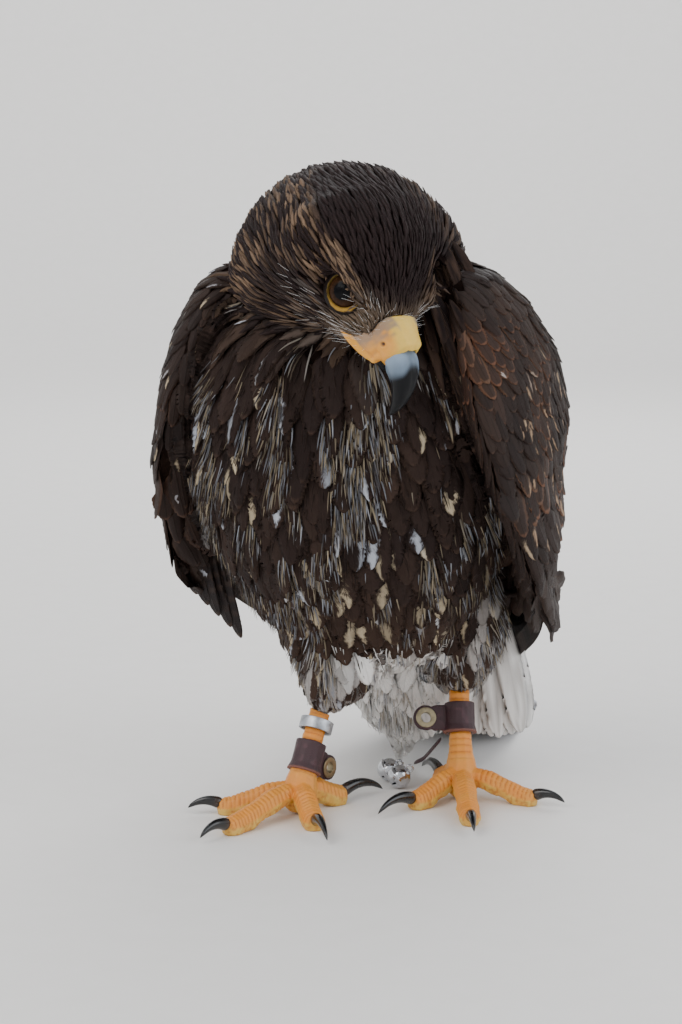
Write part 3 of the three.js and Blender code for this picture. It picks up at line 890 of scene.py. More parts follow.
def lie_of_coat(points, normals, regions):
    """The direction in which the feathers lie at each point of the skin."""
    forth = np.array(HEAD)[:3, :3]
    bill = outof(HEAD, [(0, 34, -2)])[0]
    from_bill = unit(points - bill)
    down = np.array((0, 0, -1.0))
    backward = np.array(BODY)[:3, :3] @ np.array((0, -1.0, 0))
    tail_down = unit(np.array(TAIL)[:3, :3] @ np.array((0, -0.62, -1.0)))
    sink = 0.9 * down + 0.25 * backward
    height = into(WORLD, points)[:, 2]
    below = ease(70, 125, near_bill(points)) * ease(245, 205, height)
    far = np.maximum(ease(0, 0.7, normals[:, 1]), below)[:, None]
    field = np.zeros_like(points)
    for name in FLESH:
        weight = part_of(regions, name)[:, None]
        if name in ("head", "neck"):
            field += weight * ((from_bill - 0.35 * forth[:, 1]) * (1 - far) + sink * far)
        elif name == "trunk":
            field += weight * (down + 0.3 * backward)
        elif name.startswith("thigh"):
            field += weight * (down + 0.25 * backward)
        elif name == "undertail":
            field += weight * tail_down
        else:
            field += weight * path_lie(BODY, wing_path(name[5:])[0], points)
    return field


STUMP_TOP = 112


def make_skin():
    """Builds the skin and the lie of its coat, and keeps both for the feathers."""
    sizes = bpy.context.scene.hawk_sizes
    owner = []
    tops = []
    tris = []
    count = 0
    for number, name in enumerate(FLESH):
        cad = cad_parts[name].data
        points = points_of(cad)
        corners = corners_of(cad).reshape(-1, 3)
        tops.append(points)
        tris.append(corners + count)
        owner.extend([number] * len(corners))
        count += len(points)
    cad_tree = BVHTree.FromPolygons(np.vstack(tops).tolist(), np.vstack(tris).tolist())

    mesh = remeshed(merged(FLESH, 0.0006), sizes.skin_voxel)
    web = Web(mesh)
    points = relaxed(web, points_of(mesh), 3)
    regions = np.zeros((len(points), len(FLESH)))
    for row, point in enumerate(points):
        regions[row, owner[cad_tree.find_nearest(point)[2]]] = 1
    regions = web.spread(regions, 6)
    move_points(mesh, points)
    depth = plumage("depth", regions) * ease(4, 26, near_bill(points)) + 0.5 * MM
    depth = web.spread(depth[:, None], 14)
    points = points - normals_of(mesh) * depth
    points = relaxed(web, points, 2)
    move_points(mesh, points)
    normals = normals_of(mesh)

    field = web.spread(lie_of_coat(points, normals, regions), 4)
    for _ in range(6):
        field = web.spread(unit(beside(field, normals)), 4)
    field = unit(beside(field, normals))

    unwrap(mesh)
    tint = markings(points, normals, regions, 5)
    paint(mesh, "ground", tint["ground"] * 0.55)
    mesh.name = "skin"
    add_piece("skin", mesh, skin_material(), FLESH)

    corners = corners_of(mesh)
    starts = read(mesh.polygons, "loop_start", kind=np.int32)
    totals = read(mesh.polygons, "loop_total", kind=np.int32)
    quad = np.stack([corners[starts + np.minimum(step, totals - 1)] for step in range(4)], axis=1)
    under_points, under_faces, under_normals, under_lie = long_feather_cores()
    face_regions = regions[quad].mean(axis=1)
    face_wing = part_of(face_regions, *WING_NAMES)
    centres = points[quad].mean(axis=1)
    face_normals = unit(normals[quad].mean(axis=1))
    low = into(WORLD, centres)[:, 2] < STUMP_TOP
    stump = (face_wing > 0.5) & low & (face_normals[:, 2] < -0.6)
    bare = quad.copy()
    bare[stump] = bare[stump][:, :1]
    made["skin"] = {
        "tree": BVHTree.FromPolygons(
            points.tolist() + under_points.tolist(),
            bare.tolist() + (under_faces + len(points)).tolist(),
        ),
        "centres": centres,
        "areas": areas_of(points, quad) * np.where(stump, 0, 1),
        "normals": np.vstack([face_normals, under_normals]),
        "field": np.vstack([unit(field[quad].mean(axis=1)), under_lie]),
        "regions": face_regions,
        "unwrap": read(mesh.uv_layers[BAKE_MAP].uv, "vector", 2)[starts],
        "corners": points[quad],
    }


def path_lie(matrix, stations, points):
    """The direction of the nearest stretch of a path at each point."""
    shares = np.linspace(0, 1, 60)
    path = outof(matrix, path_points(stations[:, :3], shares))
    tangents = path_tangents(stations[:, :3], shares) @ np.array(matrix)[:3, :3].T
    gaps = np.linalg.norm(points[:, None] - path[None], axis=-1)
    return tangents[np.argmin(gaps, axis=1)]


def long_feather_cores():
    """The space of the wing's and tail's long feathers, which shorter feathers lie on."""
    tops, tris, normals, lies = [], [], [], []
    count = 0
    for name in ("flight_feathers_right", "flight_feathers_left", "tail"):
        mesh = merged([name], -0.0012)
        points = points_of(mesh)
        faces = corners_of(mesh).reshape(-1, 3)
        a, b, c = (points[faces[:, step]] for step in range(3))
        normal = unit(np.cross(b - a, c - a))
        if name == "tail":
            lie = path_lie(TAIL, np.array(TAIL_STATIONS), (a + b + c) / 3)
        else:
            lie = path_lie(BODY, wing_path(name.split("_")[2])[0], (a + b + c) / 3)
        lies.append(unit(beside(lie, normal)))
        tops.append(points)
        tris.append(faces + count)
        normals.append(normal)
        count += len(points)
        bpy.data.meshes.remove(mesh)
    return np.vstack(tops), np.vstack(tris), np.vstack(normals), np.vstack(lies)


def unwrap(mesh):
    """Unwraps the skin's own shape into islands that don't overlap."""
    holder = linked("scratch", mesh)
    mesh.uv_layers.new(name=BAKE_MAP)
    for other in bpy.context.selected_objects:
        other.select_set(False)
    bpy.context.view_layer.objects.active = holder
    holder.select_set(True)
    bpy.ops.object.mode_set(mode="EDIT")
    bpy.ops.mesh.select_all(action="SELECT")
    bpy.ops.uv.smart_project(angle_limit=math.radians(60), island_margin=0.002)
    bpy.ops.object.mode_set(mode="OBJECT")
    bpy.data.objects.remove(holder)


def areas_of(points, quads):
    """The area of each four-cornered face."""
    a, b, c, d = (points[quads[:, step]] for step in range(4))
    return 0.5 * np.linalg.norm(np.cross(c - a, d - b), axis=1)


def near_bill(points):
    """Distance in millimetres from the root of the bill."""
    return np.linalg.norm(into(HEAD, points) - np.array((0, 33, 0)), axis=1)


def plumage(key, regions):
    """A size of the plumage in metres, blended over the regions."""
    column = [PLUMAGE[name.split("_")[0]][key] * MM for name in FLESH]
    return regions @ np.array(column)


def part_of(regions, *names):
    """How much of each row of regions belongs to the named parts."""
    return sum(regions[:, FLESH.index(name)] for name in names)


WING_NAMES = ("wing_right", "wing_left")
THIGH_NAMES = ("thigh_right", "thigh_left")


# Roots of the feathers


TRIES = 5
CLOSEST = 0.92
COVER_GAP = 4.5 * MM
SEARCH = 12 * MM


def roots_of(seed, spacing, wanted=None):
    """Faces and places of roots, evenly strewn over the skin where nothing covers it."""
    skin = made["skin"]
    draw = np.random.default_rng(seed)
    weight = skin["areas"] / spacing**2
    if wanted is not None:
        weight = weight * wanted
    tries = int(weight.sum() * TRIES) + 10
    faces = draw.choice(len(weight), size=tries, p=weight / weight.sum())
    share = draw.random((tries, 2))
    a, b, c, d = (skin["corners"][faces, step] for step in range(4))
    near = a + (b - a) * share[:, :1]
    far = d + (c - d) * share[:, :1]
    places_tried = near + (far - near) * share[:, 1:]
    finder = KDTree(tries)
    for number, place in enumerate(places_tried):
        finder.insert(place, number)
    finder.balance()
    free = np.ones(tries, bool)
    kept = []
    for number in range(tries):
        if not free[number]:
            continue
        kept.append(number)
        for _, other, _ in finder.find_range(places_tried[number], spacing[faces[number]] * CLOSEST):
            free[other] = False
    normals = skin["normals"][faces]
    kept = [number for number in kept if not covered(places_tried[number], normals[number])]
    return faces[kept], places_tried[kept]


def covered(place, normal):
    """True where another part of the skin lies close above a place."""
    start = Vector(place) + Vector(normal) * 2 * MM
    return made["skin"]["tree"].ray_cast(start, Vector(normal), COVER_GAP)[0] is not None


# Vanes


def vane_outline(along, tip):
    """Half-width of a vane as a share of its widest, from root 0 to tip 1."""
    root = np.minimum(1, 0.22 + (along / 0.3) ** 0.8 * 0.78)
    end = np.maximum(0, (along - 0.45) / 0.55) ** tip
    return root * np.sqrt(np.maximum(0.012, 1 - end))


def walk_shafts(faces, places_at, aim, lengths, halves, steps):
    """Walks each shaft over the skin, with the skin's places a half-width to its left and right."""
    skin = made["skin"]
    tree = skin["tree"]
    lie = [Vector(v) for v in skin["field"]]
    facing = [Vector(v) for v in skin["normals"]]
    track = np.empty((len(faces), steps + 1, 3, 3))
    rise = np.empty((len(faces), steps + 1, 3))
    for row in range(len(faces)):
        point = Vector(places_at[row])
        normal = facing[faces[row]]
        along = Vector(aim[row])
        reach = lengths[row] / steps
        for step in range(steps + 1):
            side = along.cross(normal).normalized() * halves[row]
            for column, guess in enumerate((point - side, point, point + side)):
                found = tree.find_nearest(guess, SEARCH)
                if column == 1 or found[0] is None or (found[0] - guess).length > halves[row] * 0.9:
                    track[row, step, column] = guess
                else:
                    track[row, step, column] = found[0]
            rise[row, step] = normal
            ahead = point + along * reach
            hit, _, face, gap = tree.find_nearest(ahead, SEARCH)
            if hit is None or gap > reach * 0.8 or facing[face].dot(normal) < 0.1:
                point = ahead
                continue
            normal = (normal + facing[face] * 2).normalized()
            along = (hit - point).normalized() * 0.6 + lie[face] * 0.4
            along = (along - normal * along.dot(normal)).normalized()
            point = hit
    return track, rise


def vane_faces(rows, columns):
    """The faces of one closed vane: a ribbed top, a plain underside and two end caps."""
    index = np.arange((rows + 1) * columns).reshape(rows + 1, columns)
    top = np.stack([index[:-1, :-1], index[:-1, 1:], index[1:, 1:], index[1:, :-1]], axis=-1)
    under = np.stack([index[:-1, 0], index[1:, 0], index[1:, -1], index[:-1, -1]], axis=-1)
    quads = np.vstack([top.reshape(-1, 4), under])
    caps = np.vstack([index[0, ::-1], index[-1]])
    return quads, caps


def vanes(track, rise, halves, heights, shape, draw):
    """Points, faces and vane coordinates of many vanes laid along their shafts."""
    rows, columns = shape["rows"], shape["columns"]
    count, steps = len(track), track.shape[1] - 1
    open_part = shape.get("open", 0.45)
    shaft = np.linspace(0, 1, rows + 1)[None, :, None] ** (1 - 0.35 * open_part)
    across = np.linspace(-1, 1, columns)[None, None, :]
    along = shaft + shape["sweep"] * np.abs(across) * (1 - shaft)
    along = np.repeat(along, count, axis=0)
    teeth = (np.arange(rows + 1) % 2)[None, :, None]
    edge = np.abs(across) > 0.99
    loose = ease(0.1, 0.75, shaft)
    rough = draw.random(along.shape)
    fray = shape["fray"] * loose * edge * (0.25 + 0.75 * rough) * teeth
    along = np.clip(along + 0.03 * edge * (1 - teeth) * loose * rough, 0, 1)
    width = vane_outline(along, shape["tip"]) * (1 - fray)
    bend = 0.16 * (draw.random((count, 1, 1)) - 0.5)
    lateral = across * width + bend * along**2
    run = along * steps
    first = np.minimum(run.astype(int), steps - 1)
    part = (run - first)[..., None]
    which = np.arange(count)[:, None, None]
    lines = [track[:, :, 0], track[:, :, 1], track[:, :, 2], rise]
    lines = [line[which, first] * (1 - part) + line[which, first + 1] * part for line in lines]
    left, middle, right, normal = lines
    place = middle + lateral[..., None] * (right - left) / 2
    place = place + (lateral**2)[..., None] * ((right + left) / 2 - middle)
    low, high, wide = (values[:, None, None] for values in (*heights, halves))
    hollow = (1 - across**2) * shape["camber"] * wide * width
    ridge = (np.abs(across) < 0.01) * 0.05 * wide
    wave = (draw.random(along.shape) - 0.5) * shape["ruffle"] * wide * loose
    roll = shape["roll"] * (draw.random((count, 1, 1)) - 0.5) * wide * lateral
    curl = shape["curl"] * (draw.random((count, 1, 1)) - 0.15) * wide * along**4
    height = low + (high - low) * along + hollow + ridge + wave + roll + curl
    place = place + unit(normal) * height[..., None]
    quads, caps = vane_faces(rows, columns)
    shift = (np.arange(count) * (rows + 1) * columns)[:, None, None]
    faces = [(quads[None] + shift).reshape(-1, 4), (caps[None] + shift).reshape(-1, columns)]
    coordinates = np.stack([np.broadcast_to((across + 1) / 2, along.shape), along], axis=-1)
    return place.reshape(-1, 3), faces, coordinates.reshape(-1, 2)


def dress(name, parts, material, nodes=()):
    """Joins vanes into one piece with their colours and both UV maps."""
    count = 0
    faces = []
    for part in parts:
        faces.extend(f + count for f in part["faces"])
        count += len(part["points"])
    widths = sorted({f.shape[1] for f in faces})
    faces = [np.vstack([f for f in faces if f.shape[1] == width]) for width in widths]
    joined = {key: np.concatenate([part[key] for part in parts]) for key in parts[0] if key != "faces"}
    mesh = mesh_of(name, joined["points"], faces)
    add_map(mesh, BAKE_MAP, joined["bake"])
    add_map(mesh, VANE_MAP, joined["vane"])
    for key in ("ground", "mark", "rim", "mark_at", "luck"):
        paint(mesh, key, joined[key])
    return add_piece(name, mesh, material, nodes)


def coat_part(chosen, faces, places_at, sizes, shape, seed):
    """The vanes of the chosen roots with all that their piece stores."""
    skin = made["skin"]
    draw = np.random.default_rng(seed)
    faces, places_at = faces[chosen], places_at[chosen]
    count = len(faces)
    normals = skin["normals"][faces]
    turn = (draw.random((count, 1)) - 0.5) * 2 * shape["stray"]
    field = skin["field"][faces]
    aim = unit(field + np.cross(normals, field) * turn)
    size = {key: value[faces] for key, value in sizes.items()}
    lengths = size["length"] * (0.82 + 0.36 * draw.random(count))
    halves = size["half"] * (0.85 + 0.3 * draw.random(count))
    track, rise = walk_shafts(faces, places_at, aim, lengths, halves, shape["steps"])
    high = size["lift"] * (0.75 + 0.5 * draw.random(count))
    points, mesh_faces, vane = vanes(track, rise, halves, (0.08 * high, high), shape, draw)
    points[:, 2] = np.maximum(points[:, 2], 0.3 * MM)
    each = len(points) // count
    store = markings(places_at, normals, skin["regions"][faces], seed + 1)
    root = np.repeat(skin["unwrap"][faces], each, axis=0)
    part = {key: np.repeat(value, each, axis=0) for key, value in store.items()}
    part.update(points=points, faces=mesh_faces, vane=vane, bake=root + (vane - 0.5) * PATCH)
    return part


CONTOUR = {
    "rows": 20, "columns": 5, "sweep": 0.2, "fray": 0.22, "tip": 2.4, "camber": 0.07,
    "ruffle": 0.03, "roll": 0.2, "curl": 0.1, "stray": 0.16, "steps": 5,
}
LOOSE = dict(CONTOUR, rows=24, fray=0.2, tip=1.7, ruffle=0.08, roll=0.4, curl=0.3, stray=0.34)
STRAND = {
    "rows": 5, "columns": 3, "sweep": 0.2, "fray": 0.0, "tip": 1.3, "camber": 0.3,
    "ruffle": 0.1, "roll": 0.2, "curl": 4.0, "stray": 0.55, "steps": 4,
}
SLEEK = dict(CONTOUR, rows=16, fray=0.2, tip=2.1, ruffle=0.04, roll=0.16, curl=0.06, stray=0.18)
TINY = {
    "rows": 6, "columns": 3, "sweep": 0.1, "fray": 0.35, "tip": 1.2, "camber": 0.25,
    "ruffle": 0.06, "roll": 0.3, "curl": 0.2, "stray": 0.14, "steps": 3,
}
SMALL = dict(TINY, rows=8, tip=1.3, camber=0.2, stray=0.2)


def coat_sizes(skin):
    """The plumage's sizes at every face of the skin, smaller on the face, larger down the wing."""
    sizes = {key: plumage(key, skin["regions"]) for key in ("spacing", "length", "half", "lift")}
    beak = near_bill(skin["centres"])
    small = 0.5 + 0.5 * ease(10, 48, beak)
    regions = skin["regions"]
    head, neck = part_of(regions, "head"), part_of(regions, "neck")
    crown = head * ease(36, 74, beak)
    hood = np.clip(crown + neck * ease(160, 105, beak), 0, 1)
    wing = part_of(regions, *WING_NAMES)
    height = into(WORLD, skin["centres"])[:, 2]
    grown = 0.62 + 0.5 * ease(250, 120, height)
    thigh = part_of(regions, *THIGH_NAMES)
    cuff = 0.6 + 0.4 * ease(48, 84, height)
    inner = into(HEAD, skin["centres"])
    gap = neck * ease(4, -8, inner[:, 0]) * ease(255, 235, height)
    gap = gap * ease(0.3, -0.1, skin["normals"][:len(gap), 1])
    brush = part_of(regions, "undertail") * ease(44, 8, height)
    sizes["length"] = sizes["length"] * (1 + 0.25 * gap) * (1 - 0.72 * brush)
    sizes["lift"] = sizes["lift"] * (1 + 1.6 * gap)
    for key in sizes:
        sizes[key] = sizes[key] * (1 - head + head * small)
        sizes[key] = sizes[key] * (1 - hood) + hood * HOOD[key] * MM
        sizes[key] = sizes[key] * (1 - wing + wing * grown)
        sizes[key] = sizes[key] * (1 - thigh + thigh * cuff)
    return sizes


def make_coat():
    """Strews the roots once and dresses each region in its own piece."""
    skin = made["skin"]
    sizes = coat_sizes(skin)
    faces, places_at = roots_of(11, sizes["spacing"])
    region = np.argmax(skin["regions"][faces], axis=1)
    name_of = np.array(FLESH)[region]
    hooded = (name_of == "neck") & (sizes["spacing"][faces] < 3.5 * MM)
    front = skin["normals"][faces][:, 1] < 0.25
    choices = {
        "coat_head": (name_of == "head", TINY, "head", "head_feathers"),
        "coat_hood": (hooded, SMALL, "head", "head_feathers"),
        "coat_neck": ((name_of == "neck") & ~hooded, LOOSE, "body", "body_feathers"),
        "coat_breast": ((name_of == "trunk") & front, LOOSE, "body", "body_feathers"),
        "coat_back": ((name_of == "trunk") & ~front, CONTOUR, "body", "body_feathers"),
        "coat_thigh_right": (name_of == "thigh_right", LOOSE, "body", "body_feathers"),
        "coat_thigh_left": (name_of == "thigh_left", LOOSE, "body", "body_feathers"),
        "coat_undertail": (name_of == "undertail", LOOSE, "pale", "pale_feathers"),
        "coat_wing_right": (name_of == "wing_right", SLEEK, "wing", "wing_feathers"),
        "coat_wing_left": (name_of == "wing_left", SLEEK, "wing", "wing_feathers"),
    }
    for seed, (name, (chosen, shape, finish, slot)) in enumerate(choices.items()):
        part = coat_part(chosen, faces, places_at, sizes, shape, 100 + 10 * seed)
        dress(name, [part], made["feathers"][finish])
    make_strands(sizes)


def make_strands(sizes):
    """Loose hair-like barbs that stand out over the breast, the neck and the thighs."""
    skin = made["skin"]
    body = part_of(skin["regions"], "neck", "trunk", *THIGH_NAMES, "undertail")
    bare = np.where(sizes["spacing"] < 3.4 * MM, 0.0, 1.0)
    wanted = body * bare * ease(0.5, 0.1, skin["normals"][:len(body), 1])
    clump = clumps(into(WORLD, skin["centres"]))
    even = dict(sizes, spacing=(STRANDS["spacing"] - STRANDS["closer"] * clump) * MM)
    even["length"] = (0.42 + 0.16 * clump) * sizes["length"]
    even["half"] = (1 + 0.35 * clump) * STRANDS["half"] * MM
    even["lift"] = 1.35 * sizes["lift"]
    faces, places_at = roots_of(71, even["spacing"], wanted + 1e-7)
    chosen = wanted[faces] > 0.5
    part = coat_part(chosen, faces, places_at, even, STRAND, 72)
    draw = np.random.default_rng(73)
    within = clump[faces[chosen]]
    pale = draw.random(len(within)) < 0.85 * within + 0.03
    share = np.where(pale, 0.12 + 0.8 * draw.random(len(within)), 0.0)
    share = np.repeat(share, len(part["mark"]) // len(within))
    part["ground"] = mixed(part["ground"], part["mark"], share)
    part["mark_at"] = part["mark_at"] * 0
    dress("coat_strands", [part], made["feathers"]["body"])


def make_feather_materials():
    """The finishes that the feather pieces share."""
    made["feathers"] = {
        "body": feather_material("body feather", 46.0, 0.9, 0.2, 0.65, 0.7),
        "head": feather_material("head feather", 12.0, 0.9, 0.0, 0.65, 0.4),
        "wing": feather_material("wing feather", 60.0, 0.6, 0.6, 0.55, 0.5, 0.18),
        "pale": feather_material("pale feather", 40.0, 0.35, 0.1, 0.75, 0.4),
        "flight": feather_material("flight feather", 120.0, 0.4, 0.8, 0.5, 0.5, 0.2),
    }


# Long feathers of the wings and the tail


QUILL = {
    "rows": 44, "columns": 7, "sweep": 0.04, "fray": 0.06, "tip": 3.4, "camber": 0.05,
    "ruffle": 0.012, "roll": 0.03, "curl": 0.02, "stray": 0.0, "steps": 24, "open": 0.1,
}


def wing_place(side, share, breadth, depth):
    """Points, outward and lengthwise directions in a folded wing, breadth and depth from -1 to 1."""
    stations, facing = wing_path(side)
    out = WINGS[side]["out"]
    centre = path_points(stations[:, :3], share)
    along = path_tangents(stations[:, :3], share)
    sizes = path_points(stations[:, 3:], share)
    across = path_points(facing, share)
    across = unit(beside(across, along))
    leading = -out * np.cross(along, across)
    round_off = np.sqrt(np.maximum(0.05, 1 - 0.85 * np.minimum(np.abs(breadth), 1.05) ** 2))
    point = centre + leading * (breadth * sizes[..., 1])[..., None]
    point = point + across * (depth * sizes[..., 0] * round_off)[..., None]
    return outof(BODY, point), across @ np.array(BODY)[:3, :3].T, along @ np.array(BODY)[:3, :3].T


def wing_quill(side, start, finish, breadths, depth, half, lean):
    """The track, facing and half-width of one long wing feather from start to finish along the wing."""
    steps = QUILL["steps"]
    share = np.linspace(start, finish, steps + 1)
    run = np.linspace(0, 1, steps + 1)
    breadth = breadths[0] + (breadths[1] - breadths[0]) * run**0.8
    stations, _ = wing_path(side)
    reach = path_points(stations[:, 3:], share)[:, 1]
    spread = half / reach
    middle, normal, along = wing_place(side, share, breadth, depth)
    behind, _, _ = wing_place(side, share, breadth - spread * (1 + lean), depth + 0.1)
    ahead, _, _ = wing_place(side, share, breadth + spread * (1 - lean), depth - 0.25)
    rightward = np.cross(along, normal)
    if np.sum((ahead - behind) * rightward) <= 0:
        behind, ahead = ahead, behind
    return np.stack([behind, middle, ahead], axis=1), normal, half


def quill_part(quills, seed, tint, shape=None):
    """The vanes of long feathers with their colours, from each one's track, facing and half-width."""
    draw = np.random.default_rng(seed)
    track, rise, halves = (np.array(values) for values in zip(*quills))
    halves = halves * MM
    flat = np.zeros(len(track))
    points, faces, vane = vanes(track, rise, halves, (flat, flat + 0.1 * MM), shape or QUILL, draw)
    points[:, 2] = np.maximum(points[:, 2], 0.25 * MM)
    count, each = len(track), len(points) // len(track)
    number = np.repeat(np.arange(count), each)
    part = tint(number, vane)
    part["luck"] = number * 1.37
    part["mark_at"] = np.zeros((len(points), 3))
    part["mark"] = part["ground"]
    columns = int(np.ceil(np.sqrt(count)))
    corner = np.stack([number % columns, number // columns], axis=1) / columns
    part.update(points=points, faces=faces, vane=vane, bake=corner + (vane * 0.92 + 0.04) / columns)
    return part


def rimmed(ground, rim, share):
    """A ground colour for each point with a rim of one colour, as strong as its share."""
    column = np.zeros((len(ground), 1)) + np.reshape(share, (-1, 1))
    return {"ground": ground, "rim": np.hstack([np.tile(rim, (len(ground), 1)), column])}


def flight_tint(number, vane):
    """Dark brown flight feathers, faintly barred, with worn pale tips."""
    shades = colours()
    along = vane[:, 1]
    bars = ease(0.1, 0.5, np.sin(along * 46 + number * 0.7)) * ease(0.95, 0.7, along)
    ground = mixed(shades.dark * 0.9, shades.brown, 0.35 * bars)
    return rimmed(ground, shades.brown, 0.35 + 0.4 * ease(0.93, 1.0, along))


def tail_tint(number, vane):
    """Tail feathers: dark and finely barred, white at the root and the tip, paler below and outside."""
    shades = colours()
    along = vane[:, 1]
    outer = (number // 2) / 5
    bars = ease(-0.1, 0.5, np.sin(along * 62 + 0.4 * np.sin(number * 1.7)))
    dark = mixed(shades.dark, shades.brown, 0.7 * bars)
    pale = mixed(shades.grey, shades.white, 0.3 + 0.6 * bars)
    ground = mixed(dark, pale, 0.85 * ease(0.55, 0.95, outer))
    ends = np.maximum(ease(0.3, 0.16, along), ease(0.93, 0.96, along))
    ground = mixed(ground, shades.white, ends)
    return rimmed(ground, shades.brown, 0.2)


def make_flight_feathers():
    """The folded secondaries and primaries of both wings, with a row on each wing's inner side."""
    for seed, side in enumerate(WINGS):
        quills = []
        for share in np.linspace(0, 1, 11):
            breadth = -0.62 + 1.2 * share
            finish_at = 0.7 + 0.13 * share - 0.1 * (1 - share) ** 3
            breadths = (breadth, breadth * 0.8 - 0.08)
            quills.append(wing_quill(side, 0.36, finish_at, breadths, 0.86 - 0.6 * share, 11.5, 0.25))
        for share in np.linspace(0, 1, 9):
            finish_at = 0.86 + 0.138 * math.sin(0.5 + 1.9 * share)
            breadths = (0.1 + 0.62 * share, 0.35 * share)
            quills.append(wing_quill(side, 0.42, finish_at, breadths, 0.2 - 0.8 * share, 9.5, 0.35))
        for share in np.linspace(0, 1, 7):
            breadth = -0.6 + 0.75 * share
            breadths = (breadth, breadth * 0.8)
            quills.append(wing_quill(side, 0.4, 0.68 + 0.12 * share, breadths, -0.8, 11.5, 0.2))
        part = quill_part(quills, 300 + seed, flight_tint)
        dress_quills(f"quills_{side}", part, "flight", [f"flight_feathers_{side}"])


def dress_quills(name, part, kind, nodes=()):
    """Shows long feathers in the finish of their kind."""
    dress(name, [part], made["feathers"][kind], nodes)


def hung(start, finish, half, facing, bow):
    """The track, facing and half-width of one hanging feather, bowed towards its facing."""
    run = np.linspace(0, 1, QUILL["steps"] + 1)[:, None]
    start, finish, facing = (np.array(v, float) for v in (start, finish, facing))
    facing = unit(facing)
    middle = start * (1 - run) + finish * run + facing * bow * 4 * run * (1 - run)
    along = unit(finish - start)
    aside = np.cross(along, facing) * half
    track = np.stack([middle - aside, middle, middle + aside], axis=1)
    track = outof(WORLD, track.reshape(-1, 3)).reshape(track.shape)
    return track, np.tile(facing, (len(run), 1)), half


def tuft_tint(number, vane):
    """Soft white feathers with grey barbs and a dark streak near one edge."""
    shades = colours()
    along, across = vane[:, 1], vane[:, 0] - 0.5
    barbs = noise(np.stack([across * 40, along * 5, number * 3.7], axis=1), 1.0, 12)
    ground = mixed(shades.snow, shades.grey, 0.5 * ease(0.45, 0.8, barbs) + 0.1)
    streak = (number == 7) * ease(0.16, 0.08, np.abs(across - 0.2)) * ease(0.3, 0.4, along)
    ground = mixed(ground, shades.dark, streak * ease(0.86, 0.8, along))
    return rimmed(ground, shades.snow, 0.2)


def ruff_tint(number, vane):
    """Dark body feathers with brown edges, a few of them with a pale streak."""
    shades = colours()
    along, across = vane[:, 1], vane[:, 0] - 0.5
    barbs = noise(np.stack([across * 30, along * 4, number * 2.3], axis=1), 1.0, 13)
    ground = mixed(shades.dark, shades.brown, ease(0.3, 0.8, barbs) * 0.9)
    pale = ease(0.2, 0.08, np.abs(across + 0.25 * (barbs - 0.5))) * ease(0.35, 0.6, along)
    ground = mixed(ground, shades.cream, 0.7 * pale * (number % 5 == 2))
    return rimmed(ground, shades.tawny, 0.5)


def make_hanging_feathers():
    """The ruff beside the bill, the brush at the right wing's tip and the white coverts by the tail."""
    brush, plume, ruff = [], [], []
    draw = np.random.default_rng(345)
    for _ in range(46):
        share, row = draw.random(), draw.random()
        start = (34 + 20 * row + 4 * share, -50 - 8 * draw.random(), 254 - 40 * share)
        end = (start[0] + 9 + 5 * row, start[1] - 5, start[2] - 26 - 8 * draw.random())
        ruff.append(hung(start, end, 2.6, (0.3, -0.95, 0.25), 3))
    for _ in range(26):
        share, row = draw.random(), draw.random()
        start = (36 + 16 * row, -34 - 8 * draw.random(), 276 - 14 * share)
        end = (start[0] + 8 + 6 * row, start[1] - 9, start[2] - 24 - 6 * draw.random())
        ruff.append(hung(start, end, 2.6, (0.3, -0.9, 0.4), 3))
    for number, share in enumerate(np.linspace(0, 1, 15)):
        start = (-84 + 24 * share, 42 + 4 * (number % 2), 142 - 12 * share)
        end = (-76 + 26 * share, 50, 106 - 26 * share - 4 * (number % 3))
        brush.append(hung(start, end, 5, (-0.6, -0.8, 0.1), 4))
    for number, share in enumerate(np.linspace(0, 1, 10)):
        start = (60 + 15 * share, 50 - 3 * (number % 3), 104 - 6 * share)
        end = (62 + 33 * share, 60 - 2 * (number % 3), 24 - 5 * math.sin(3 * share))
        plume.append(hung(start, end, 7.5, (0.25, -0.95, 0.15), 5))
    loose = dict(QUILL, fray=0.25, ruffle=0.05, tip=1.8, rows=24, columns=5)
    dress_quills("wing_brush", quill_part(brush, 340, flight_tint), "flight")
    dress_quills("tail_side", quill_part(plume, 340, tuft_tint), "pale")
    dress_quills("ruff", quill_part(ruff, 340, ruff_tint, loose), "body")


def make_tail():
    """The twelve tail feathers, the middle pair uppermost."""
    stations = np.array(TAIL_STATIONS)
    steps = QUILL["steps"]
    quills = []
    turn = np.array(TAIL)[:3, :3]
    for number in range(12):
        rank, out = number // 2, 1 if number % 2 else -1
        share = np.linspace(0.06, 0.996 - 0.002 * rank**1.5, steps + 1)
        run = np.linspace(0, 1, steps + 1)
        centre = path_points(stations[:, :3], share)
        along = path_tangents(stations[:, :3], share)
        sizes = path_points(stations[:, 3:], share)
        up = np.cross(along, np.array((1.0, 0, 0)))
        half = np.minimum(12.5, 0.42 * sizes[:, 0])
        middle = out * (1.2 + (1.2 + 3.7 * run**0.7) * rank)
        depth = (0.8 - 0.3 * rank + 0.05 * out) * (sizes[:, 1] - 0.5)

        def at(lateral, drop):
            sideways = np.stack([lateral, 0 * lateral, 0 * lateral], axis=1)
            return outof(TAIL, centre + sideways + up * (depth - drop)[:, None])

        drops = (0.35 - 0.1 * out, 0.0, 0.35 + 0.1 * out)
        lines = [at(middle + step * half, drop) for step, drop in zip((-1, 0, 1), drops)]
        quills.append((np.stack(lines, axis=1), up @ turn.T, 12.5))
    dress_quills("tail_quills", quill_part(quills, 320, tail_tint), "flight", ["tail"])


# Plain finishes


